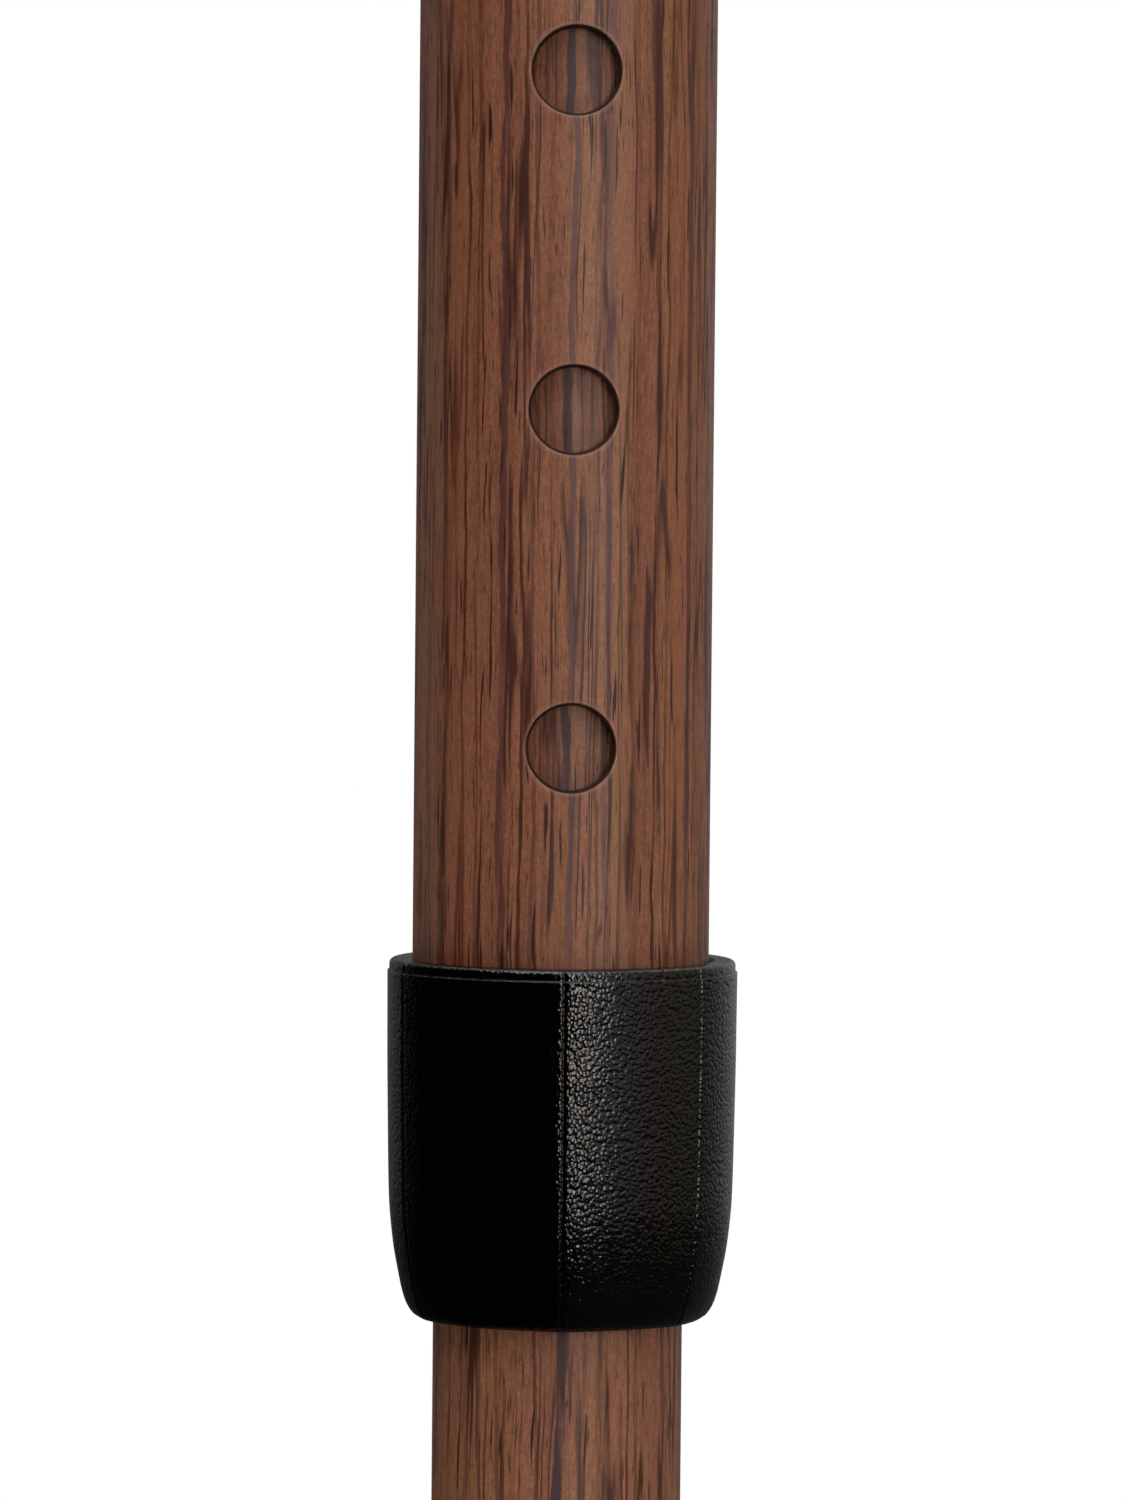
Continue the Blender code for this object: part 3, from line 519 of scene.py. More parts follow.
@dataclass(frozen=True)
class WoodPrintFilm(SurfaceFinish):
    """Heat-transferred walnut print under a satin lacquer, on drawn aluminium.

    The print gives thin red-brown grain lines, a few purple streaks and short pore dashes on
    muted brown, and the lacquer a soft sheen. The rounded lips of the holes are lightened as a
    painted highlight, the hole walls and the tubes' end faces are darkened as painted shade, and
    the bore is bare metal.
    """

    outer_mm: float
    wall_mm: float
    seed_mm: float = 0.0
    streaks: tuple[Streak, ...] = ()
    # Zones a few millimetres wide, from red brown through grey brown to yellow brown.
    zone_per_mm: Corner = (0.3, 0.3, 0.005)
    zones: tuple[tuple[float, str], ...] = (
        (0.32, "#70432f"), (0.42, "#7a4a34"), (0.5, "#7f503a"), (0.58, "#7c5134"), (0.68, "#79482e"),
    )
    # The print's screen dots are about 0.1 mm, which the picture can't show: these are two and
    # three times as coarse. The bands are 1 mm, the threads 0.4 mm and the fibre 0.12 mm wide.
    mottles: tuple[TintedNoise, ...] = (
        TintedNoise(
            (3.6, 3.6, 1.7), (Tint(0.5, 0.68, 0.34, "#562f1f"), Tint(0.5, 0.34, 0.24, "#8f6650")), 3.0, 0.75
        ),
        TintedNoise(
            (6.0, 6.0, 3.2), (Tint(0.5, 0.34, 0.24, "#52301f"), Tint(0.5, 0.66, 0.24, "#9a705a")), 2.0, 0.75
        ),
    )
    bands: tuple[TintedNoise, ...] = (
        TintedNoise((0.9, 0.9, 0.012), (Tint(0.56, 0.72, 0.2, "#553226"),)),
        TintedNoise((2.6, 2.6, 0.04), (Tint(0.59, 0.65, 0.28, "#47261a"),), 2.5),
    )
    veins: tuple[Vein, ...] = (
        Vein(0.42, 0.5, 0.022, "#39190f"),
        Vein(0.55, 0.42, 0.028, "#432420"),
        Vein(0.7, 0.55, 0.03, "#3f1d12"),
    )
    fibre: TintedNoise = TintedNoise((8.0, 8.0, 0.5), (Tint(0.48, 0.66, 0.35, "#3f2418"),), 2.0, 0.6)
    # Pores are dashes 0.3 mm wide and up to 7 mm long, with smaller ones between.
    pores: tuple[TintedNoise, ...] = (
        TintedNoise((3.0, 3.0, 0.14), (Tint(0.655, 0.71, 0.95, "#290f08"),), 1.0, 0.5, (7.0, 3.0, 1.0)),
        TintedNoise((6.5, 6.5, 0.5), (Tint(0.64, 0.72, 0.75, "#381a10"),), 1.0, 0.5, (1.0, 9.0, 4.0)),
    )
    # Painted highlight on the holes' rounded lips: a pale pink laid a quarter of the way over the print, in
    # place of the light that the lips catch.
    lip_painted_highlight: str = "#9c7a6b"
    lip_highlight_share: float = 0.25
    # Painted shade in the holes: the hole walls and the tubes' end faces are darkened from just under the
    # skin down to the bore, in place of the shadow there.
    cut_edge: str = "#1a0d09"
    hole_shade_from_mm: float = 0.3
    hole_shade_to_mm: float = 0.08
    bare_metal: str = "#a9abad"
    # How the grain and each streak drift: waves per millimetre of height, and reach in radians.
    grain_drift: Point = (0.03, 0.12)
    streak_drift: Point = (0.055, 0.1)
    streak_seed_step: float = 7.3
    orange_peel_per_mm: float = 1.1
    orange_peel_mm: float = 0.01

    def surface(self, tree: bpy.types.NodeTree, place_mm: bpy.types.Node) -> dict[str, Any]:
        """Print the wood on the skin, paint a highlight on the holes' lips and shade on their walls, and
        bare the bore.

        Args:
            tree: The material's nodes.
            place_mm: Coordinates in millimetres.

        Returns:
            What the surface shader's inputs get.
        """
        split = add(tree, "ShaderNodeSeparateXYZ", (place_mm,))
        turn = self.wander(tree, split.outputs["Z"], self.grain_drift, self.seed_mm)
        turned = add(
            tree, "ShaderNodeVectorRotate", {"Vector": place_mm, "Angle": turn}, rotation_type="Z_AXIS"
        )
        shift = (self.seed_mm, self.seed_mm, 3.0 * self.seed_mm)
        grain = add(tree, "ShaderNodeMapping", {"Vector": turned, "Location": shift})
        colour = self.streaked(tree, place_mm, self.grained(tree, grain))
        for pore in self.pores:
            colour = pore.over(tree, grain, colour)
        radius = distance_from_axis(tree, split)
        # Painted shade: dark from the bore up to 0.3 mm under the skin, fading out 0.08 mm under it.
        hole_shade_levels = (radius, self.outer_mm - self.hole_shade_from_mm, self.outer_mm - self.hole_shade_to_mm, 1.0, 0.0)
        cut = add(tree, "ShaderNodeMapRange", hole_shade_levels, **SMOOTH)
        bore_mm = self.outer_mm - self.wall_mm
        bare = add(tree, "ShaderNodeMapRange", (radius, bore_mm, bore_mm + 0.06, 1.0, 0.0), **SMOOTH)
        # Painted highlight: the lip attribute marks the rounded lips, which are lightened.
        lip = add(tree, "ShaderNodeAttribute", attribute_name="lip").outputs["Fac"]
        lip_highlight_amount = add(tree, "ShaderNodeMath", (lip, self.lip_highlight_share), operation="MULTIPLY")
        for share, code in ((lip_highlight_amount, self.lip_painted_highlight), (cut, self.cut_edge), (bare, self.bare_metal)):
            colour = add(tree, "ShaderNodeMix", (share, colour, linear(code)), data_type="RGBA")
        skin = add(tree, "ShaderNodeTexNoise", (place_mm, self.orange_peel_per_mm))
        peel = {"Height": skin, "Distance": self.orange_peel_mm * MM, "Strength": 0.6}
        return {
            "Base Color": colour,
            "Metallic": bare,
            "Roughness": add(tree, "ShaderNodeMapRange", (skin, 0.3, 0.7, 0.42, 0.52), **SMOOTH),
            "IOR": 1.42,
            "Normal": add(tree, "ShaderNodeBump", peel),
        }

    def wander(
        self, tree: bpy.types.NodeTree, height: bpy.types.NodeSocket, drift: Point, seed: float
    ) -> bpy.types.Node:
        """Let a line drift sideways as it runs up the tube.

        Args:
            tree: The material's nodes.
            height: Height in millimetres.
            drift: Waves per millimetre of height, and the reach from side to side in radians.
            seed: Where the drift starts.

        Returns:
            The drift in radians.
        """
        per_mm, reach = drift
        climb = add(tree, "ShaderNodeMath", (height, per_mm), operation="MULTIPLY")
        start = add(tree, "ShaderNodeMath", (climb, seed), operation="ADD")
        slow = add(tree, "ShaderNodeTexNoise", (start, 1.0, 3.0), noise_dimensions="1D")
        off = add(tree, "ShaderNodeMath", (slow, 0.5), operation="SUBTRACT")
        return add(tree, "ShaderNodeMath", (off, reach), operation="MULTIPLY")

    def grained(self, tree: bpy.types.NodeTree, grain: bpy.types.Node) -> bpy.types.Node:
        """Paint the zones, the mottles, the bands, the veins and the fibre.

        Args:
            tree: The material's nodes.
            grain: The print's coordinates in millimetres.

        Returns:
            The print's colour without its streaks and pores.
        """
        place = add(tree, "ShaderNodeMapping", {"Vector": grain, "Scale": self.zone_per_mm})
        colour = add(tree, "ShaderNodeValToRGB", (add(tree, "ShaderNodeTexNoise", (place, 1.0)),))
        stops = colour.color_ramp.elements
        while len(stops) < len(self.zones):
            stops.new(0.5)
        for stop, (position, code) in zip(stops, self.zones):
            stop.position = position
            stop.color = linear(code)
        for pattern in self.mottles + self.bands:
            colour = pattern.over(tree, grain, colour)
        place = add(tree, "ShaderNodeMapping", {"Vector": grain, "Scale": (0.7, 0.7, 0.075)})
        broken = add(tree, "ShaderNodeTexNoise", (place, 1.0))
        firm = add(tree, "ShaderNodeMapRange", (broken, 0.4, 0.56, 0.1, 1.0), **SMOOTH)
        for vein in self.veins:
            share = add(tree, "ShaderNodeMath", (vein.line(tree, grain), firm), operation="MULTIPLY")
            colour = add(tree, "ShaderNodeMix", (share, colour, linear(vein.colour)), data_type="RGBA")
        return self.fibre.over(tree, grain, colour)

    def streaked(
        self, tree: bpy.types.NodeTree, place_mm: bpy.types.Node, colour: bpy.types.Node
    ) -> bpy.types.Node:
        """Add the stripes that run the tube's whole length, each winding a little by itself.

        Args:
            tree: The material's nodes.
            place_mm: Coordinates in millimetres.
            colour: The colour so far.

        Returns:
            The colour with its streaks.
        """
        split = add(tree, "ShaderNodeSeparateXYZ", (place_mm,))
        angle = angle_from_front(tree, split)
        place = add(tree, "ShaderNodeMapping", {"Vector": place_mm, "Scale": (1.3, 1.3, 0.07)})
        ragged = add(tree, "ShaderNodeTexNoise", (place, 1.0, 3.0))
        firm = add(tree, "ShaderNodeMapRange", (ragged, 0.37, 0.5, 0.45, 1.0), **SMOOTH)
        place = add(tree, "ShaderNodeMapping", {"Vector": place_mm, "Scale": (2.6, 2.6, 0.4)})
        bite = add(tree, "ShaderNodeTexNoise", (place, 1.0, 3.0, 0.6))
        bite = add(tree, "ShaderNodeMath", (bite, 0.5), operation="SUBTRACT")
        bite = add(tree, "ShaderNodeMath", (bite, 1.6), operation="MULTIPLY")
        for number, streak in enumerate(self.streaks):
            seed = self.streak_seed_step * number + self.seed_mm
            drift = self.wander(tree, split.outputs["Z"], self.streak_drift, seed)
            middle = add(tree, "ShaderNodeMath", (drift, math.radians(streak.angle_deg)), operation="ADD")
            off = add(tree, "ShaderNodeMath", (angle, middle), operation="SUBTRACT")
            half = streak.width_mm / self.outer_mm / 2.0
            off = add(tree, "ShaderNodeMath", (off, half), operation="DIVIDE")
            off = add(tree, "ShaderNodeMath", (off,), operation="ABSOLUTE")
            frayed = add(tree, "ShaderNodeMath", (off, bite), operation="ADD")
            share = add(tree, "ShaderNodeMapRange", (frayed, 0.65, 1.0, 1.0, 0.0), **SMOOTH)
            for factor in (firm, streak.strength):
                share = add(tree, "ShaderNodeMath", (share, factor), operation="MULTIPLY")
            colour = add(tree, "ShaderNodeMix", (share, colour, linear(streak.colour)), data_type="RGBA")
        return colour


@dataclass(frozen=True)
class MouldedNylon(SurfaceFinish):
    """Black nylon from a spark-eroded mould.

    The mould's grain breaks each reflection into small sparks over a deep black. The real
    grain is about 0.15 mm, and it is drawn twice as coarse so that it shows. Above the height
    given, the step's rim is a little duller.
    """

    name: str = "black_nylon_spark_eroded_mould"
    pebbles_per_mm: float = 3.0
    grain_depth_mm: float = 0.042
    colour: str = "#020203"
    roughness: float = 0.1
    rim_above_mm: float = 1000.0

    def surface(self, tree: bpy.types.NodeTree, place_mm: bpy.types.Node) -> dict[str, Any]:
        """Grain the skin and let its sheen vary slowly.

        Args:
            tree: The material's nodes.
            place_mm: Coordinates in millimetres.

        Returns:
            What the surface shader's inputs get.
        """
        cells = add(tree, "ShaderNodeTexVoronoi", (place_mm, self.pebbles_per_mm))
        pebbles = add(tree, "ShaderNodeMapRange", (cells, 0.2, 0.95, 1.0, 0.0), **SMOOTH)
        wave = add(tree, "ShaderNodeTexNoise", (place_mm, 1.6 * self.pebbles_per_mm, 1.0))
        shares = ((pebbles, 0.7), (wave, 0.5))
        pits = [add(tree, "ShaderNodeMath", share, operation="MULTIPLY") for share in shares]
        rub = add(tree, "ShaderNodeTexNoise", (place_mm, 0.35))
        rub_levels = (rub, 0.3, 0.7, self.roughness - 0.03, self.roughness + 0.05)
        sheen = add(tree, "ShaderNodeMapRange", rub_levels, **SMOOTH)
        height = add(tree, "ShaderNodeSeparateXYZ", (place_mm,)).outputs["Z"]
        rim_levels = (height, self.rim_above_mm - 0.05, self.rim_above_mm + 0.05, 0.0, 0.05)
        rim = add(tree, "ShaderNodeMapRange", rim_levels, **SMOOTH)
        grain = add(tree, "ShaderNodeMath", pits, operation="ADD")
        relief = {"Height": grain, "Distance": self.grain_depth_mm * MM}
        return {
            "Base Color": linear(self.colour),
            "Roughness": add(tree, "ShaderNodeMath", (sheen, rim), operation="ADD"),
            "IOR": 1.5,
            "Normal": add(tree, "ShaderNodeBump", relief),
        }


@dataclass(frozen=True)
class AcetalGrey(SurfaceFinish):
    """Grey moulded acetal, self-lubricating: an even, waxy surface with faint flow marks.

    The flow marks are clouds of 2 mm, and the skin's roughness has grains of 0.2 mm.
    """

    name: str = "grey_acetal_moulded"

    def surface(self, tree: bpy.types.NodeTree, place_mm: bpy.types.Node) -> dict[str, Any]:
        """Cloud the colour with flow marks and roughen the skin finely.

        Args:
            tree: The material's nodes.
            place_mm: Coordinates in millimetres.

        Returns:
            What the surface shader's inputs get.
        """
        flow = add(tree, "ShaderNodeTexNoise", (place_mm, 0.6, 3.0))
        shades = (flow, linear("#8c8e90"), linear("#a3a5a6"))
        fine = add(tree, "ShaderNodeTexNoise", (place_mm, 6.0, 1.0))
        return {
            "Base Color": add(tree, "ShaderNodeMix", shades, data_type="RGBA"),
            "Roughness": 0.48,
            "IOR": 1.48,
            "Normal": add(tree, "ShaderNodeBump", {"Height": fine, "Distance": 0.01 * MM}),
        }


@dataclass(frozen=True)
class TurnedMetal(SurfaceFinish):
    """Bare metal turned on a lathe: fine rings round the axis and a slightly uneven sheen.

    The tool's rings are about 0.1 mm apart, and they are drawn coarser so that they show.
    """

    colour: str
    roughness: float
    rings_per_mm: float = 4.0

    def surface(self, tree: bpy.types.NodeTree, place_mm: bpy.types.Node) -> dict[str, Any]:
        """Cut the rings and let the sheen vary.

        Args:
            tree: The material's nodes.
            place_mm: Coordinates in millimetres.

        Returns:
            What the surface shader's inputs get.
        """
        scale = (0.15, 0.15, self.rings_per_mm)
        place = add(tree, "ShaderNodeMapping", {"Vector": place_mm, "Scale": scale})
        rings = add(tree, "ShaderNodeTexNoise", (place, 1.0))
        dull = add(tree, "ShaderNodeTexNoise", (place_mm, 0.25, 3.0))
        levels = (dull, 0.3, 0.7, self.roughness - 0.05, self.roughness + 0.08)
        return {
            "Base Color": linear(self.colour),
            "Metallic": 1.0,
            "Roughness": add(tree, "ShaderNodeMapRange", levels, **SMOOTH),
            "Normal": add(tree, "ShaderNodeBump", {"Height": rings, "Distance": 0.012 * MM}),
        }


@dataclass(frozen=True)
class MouldedRubber(SurfaceFinish):
    """Black moulded rubber: dull, slightly dusty and with a pebbled skin of 0.3 mm."""

    name: str = "black_rubber_moulded"

    def surface(self, tree: bpy.types.NodeTree, place_mm: bpy.types.Node) -> dict[str, Any]:
        """Dust the colour and pebble the skin.

        Args:
            tree: The material's nodes.
            place_mm: Coordinates in millimetres.

        Returns:
            What the surface shader's inputs get.
        """
        dust = add(tree, "ShaderNodeTexNoise", (place_mm, 0.18, 4.0))
        shades = (dust, linear("#161616"), linear("#242423"))
        skin = add(tree, "ShaderNodeTexNoise", (place_mm, 3.0))
        return {
            "Base Color": add(tree, "ShaderNodeMix", shades, data_type="RGBA"),
            "Roughness": add(tree, "ShaderNodeMapRange", (dust, 0.3, 0.7, 0.62, 0.8), **SMOOTH),
            "IOR": 1.52,
            "Normal": add(tree, "ShaderNodeBump", {"Height": skin, "Distance": 0.04 * MM}),
        }


@dataclass(frozen=True)
class BraidedCover(SurfaceFinish):
    """Polyester braid over rubber strands: dark yarns with pale flecks, matt and fuzzy.

    The yarn's fibres are 0.02 mm, and they are drawn as a fuzz of 0.1 mm so that it shows.
    """

    name: str = "polyester_braid_over_rubber"

    def surface(self, tree: bpy.types.NodeTree, place_mm: bpy.types.Node) -> dict[str, Any]:
        """Fleck the yarns and raise the fuzz.

        Args:
            tree: The material's nodes.
            place_mm: Coordinates in millimetres.

        Returns:
            What the surface shader's inputs get.
        """
        yarn = add(tree, "ShaderNodeTexNoise", (place_mm, 1.4, 1.0))
        fuzz = add(tree, "ShaderNodeTexNoise", (place_mm, 9.0))
        fleck = add(tree, "ShaderNodeMapRange", (yarn, 0.55, 0.62, 0.0, 1.0), **SMOOTH)
        shades = (fleck, linear("#2b2b2e"), linear("#b9b7b0"))
        return {
            "Base Color": add(tree, "ShaderNodeMix", shades, data_type="RGBA"),
            "Roughness": 0.85,
            "Normal": add(tree, "ShaderNodeBump", {"Height": fuzz, "Distance": 0.03 * MM}),
            "Sheen Weight": 0.3,
        }


@dataclass(frozen=True)
class LacqueredWalnut(SurfaceFinish):
    """Turned and sanded walnut under clear lacquer: grain along the grip and a soft gloss.

    Year rings are 2 to 3 mm apart, and the fibre 0.3 mm. Walnut's pores are 0.2 mm wide and up
    to 4 mm long, and the lacquer leaves them as shallow dents.
    """

    name: str = "walnut_sanded_and_lacquered"

    def surface(self, tree: bpy.types.NodeTree, place_mm: bpy.types.Node) -> dict[str, Any]:
        """Lay bent year rings, fibre and pores along the grip.

        Args:
            tree: The material's nodes.
            place_mm: Coordinates in millimetres.

        Returns:
            What the surface shader's inputs get.
        """
        place = add(tree, "ShaderNodeMapping", {"Vector": place_mm, "Scale": (0.03, 0.012, 0.03)})
        bend = add(tree, "ShaderNodeTexNoise", (place, 1.0, 1.0))
        sideways = add(tree, "ShaderNodeMath", (bend, 9.0), operation="MULTIPLY")
        upwards = add(tree, "ShaderNodeMath", (bend, 7.0), operation="MULTIPLY")
        bent = add(tree, "ShaderNodeCombineXYZ", {"X": sideways, "Z": upwards})
        grain = add(tree, "ShaderNodeVectorMath", (place_mm, bent), operation="ADD")
        year_rings = TintedNoise((0.42, 0.02, 0.42), (Tint(0.36, 0.64, 1.0, "#7b4f34"),))
        colour = year_rings.over(tree, grain, linear("#4a2b1c"))
        place = add(tree, "ShaderNodeMapping", {"Vector": grain, "Scale": (3.2, 0.1, 3.2)})
        fibre = add(tree, "ShaderNodeTexNoise", (place, 1.0, 3.0))
        dark = add(tree, "ShaderNodeMapRange", (fibre, 0.45, 0.65, 0.0, 0.5), **SMOOTH)
        colour = add(tree, "ShaderNodeMix", (dark, colour, linear("#331b10")), data_type="RGBA")
        place = add(tree, "ShaderNodeMapping", {"Vector": grain, "Scale": (5.5, 0.3, 5.5)})
        pores = add(tree, "ShaderNodeTexNoise", (place, 1.0, 1.0))
        open_pore = add(tree, "ShaderNodeMapRange", (pores, 0.66, 0.72, 0.0, 0.8), **SMOOTH)
        shades = (open_pore, colour, linear("#20100a"))
        return {
            "Base Color": add(tree, "ShaderNodeMix", shades, data_type="RGBA"),
            "Roughness": add(tree, "ShaderNodeMapRange", (fibre, 0.3, 0.7, 0.26, 0.36), **SMOOTH),
            "IOR": 1.5,
            "Coat Weight": 0.35,
            "Normal": add(tree, "ShaderNodeBump", {"Height": pores, "Distance": -0.02 * MM}),
        }


@dataclass(frozen=True)
class FloorPaint(SurfaceFinish):
    """Matt pale studio floor, brighter towards its rim so that it runs into the white room."""

    name: str = "matt_pale_floor_paint"
    fade_start_mm: float = 170.0
    fade_end_mm: float = 385.0
    fade_glow: float = 0.42

    def surface(self, tree: bpy.types.NodeTree, place_mm: bpy.types.Node) -> dict[str, Any]:
        """Cloud the paint and let the rim and the edge glow.

        Args:
            tree: The material's nodes.
            place_mm: Coordinates in millimetres.

        Returns:
            What the surface shader's inputs get.
        """
        cloud = add(tree, "ShaderNodeTexNoise", (place_mm, 0.02, 3.0))
        shades = (cloud, linear("#e6e5e2"), linear("#efeeec"))
        radius = add(tree, "ShaderNodeVectorMath", (place_mm,), operation="LENGTH")
        glows = (
            (radius, self.fade_start_mm, self.fade_end_mm, 0.0, self.fade_glow),
            (radius, self.fade_end_mm + 11.0, self.fade_end_mm + 14.0, 0.0, 1.0 - self.fade_glow),
        )
        steps = [add(tree, "ShaderNodeMapRange", glow, **SMOOTH) for glow in glows]
        return {
            "Base Color": add(tree, "ShaderNodeMix", shades, data_type="RGBA"),
            "Roughness": 0.7,
            "Emission Color": linear("#ffffff"),
            "Emission Strength": add(tree, "ShaderNodeMath", steps, operation="ADD"),
        }


class Finish(Enum):
    """The finishes of the cane, by the record's material slot."""

    WOOD_PRINT = "wood_print"
    BLACK_PLASTIC = "black_plastic"
    GREY_PLASTIC = "grey_plastic"
    ALUMINIUM = "aluminium"
    STEEL = "steel"
    RUBBER = "rubber"
    ELASTIC = "elastic"
    WALNUT = "walnut"


OUTER_STREAKS = (
    Streak(-62.4, 0.4, 0.4, "#3a241b"),
    Streak(-54.9, 0.6, 0.65, "#33201a"),
    Streak(-44.3, 0.32, 0.9, "#3d1a0e"),
    Streak(-38.5, 0.32, 0.55, "#4a2416"),
    Streak(-27.4, 0.65, 0.85, "#4a2725"),
    Streak(-19.2, 0.3, 0.9, "#3d1a0e"),
    Streak(-14.8, 0.36, 0.6, "#4a2620"),
    Streak(-0.3, 0.55, 0.8, "#4f3234"),
    Streak(9.6, 0.32, 0.7, "#4a2118"),
    Streak(13.8, 0.6, 0.75, "#553538"),
    Streak(24.8, 0.6, 0.6, "#5c3520"),
    Streak(34.0, 0.3, 0.95, "#3d1a0e"),
    Streak(39.5, 0.32, 0.8, "#48200f"),
    Streak(52.5, 0.7, 0.8, "#4a2d26"),
    Streak(58.4, 0.32, 0.6, "#4a2d22"),
    Streak(19.0, 1.6, 0.3, "#7c5a3a"),
    Streak(45.0, 2.6, 0.3, "#7c4a33"),
    Streak(-49.0, 2.4, 0.3, "#7a432d"),
    Streak(-66.0, 3.4, 0.4, "#86604c"),
)
INNER_STREAKS = (
    Streak(-2.4, 0.75, 0.95, "#38242b"),
    Streak(-13.0, 0.3, 0.7, "#41200f"),
    Streak(9.0, 0.3, 0.6, "#4a2118"),
    Streak(16.0, 0.5, 0.7, "#452a20"),
    Streak(-31.0, 0.4, 0.7, "#482a20"),
    Streak(36.0, 0.4, 0.7, "#4a2c20"),
    Streak(-50.0, 0.6, 0.7, "#452a20"),
    Streak(54.0, 0.5, 0.7, "#4a2c20"),
)


@dataclass
class Palette:
    """Every finish, built once and handed to the pieces."""

    outer_print: bpy.types.Material = field(init=False)
    inner_print: bpy.types.Material = field(init=False)
    upper_print: bpy.types.Material = field(init=False)
    collar: bpy.types.Material = field(init=False)
    slots: dict[Finish, bpy.types.Material] = field(init=False)

    def __post_init__(self) -> None:
        """Build the materials."""
        self.outer_print = WoodPrintFilm(
            "walnut_print_film_on_outer_tube", TUBE_MM, TUBE_WALL_MM, 0.0, OUTER_STREAKS
        ).build()
        self.inner_print = WoodPrintFilm(
            "walnut_print_film_on_inner_tube", INNER_TUBE_MM, INNER_WALL_MM, 37.0, INNER_STREAKS
        ).build()
        self.upper_print = WoodPrintFilm(
            "walnut_print_film_on_upper_tubes", TUBE_MM, TUBE_WALL_MM, 71.0, OUTER_STREAKS
        ).build()
        rim_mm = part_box("lock_nut")[1][2] / MM - COLLAR_RIM_MM
        self.collar = MouldedNylon(rim_above_mm=rim_mm).build()
        self.slots = {
            Finish.WOOD_PRINT: self.upper_print,
            Finish.BLACK_PLASTIC: MouldedNylon("black_nylon_moulded", 4.0, 0.02, "#101011", 0.38).build(),
            Finish.GREY_PLASTIC: AcetalGrey().build(),
            Finish.ALUMINIUM: TurnedMetal("aluminium_turned", "#c9cbcd", 0.34).build(),
            Finish.STEEL: TurnedMetal("steel_nickel_plated", "#b9b6b0", 0.22, 2.0).build(),
            Finish.RUBBER: MouldedRubber().build(),
            Finish.ELASTIC: BraidedCover().build(),
            Finish.WALNUT: LacqueredWalnut().build(),
        }


# Tubes


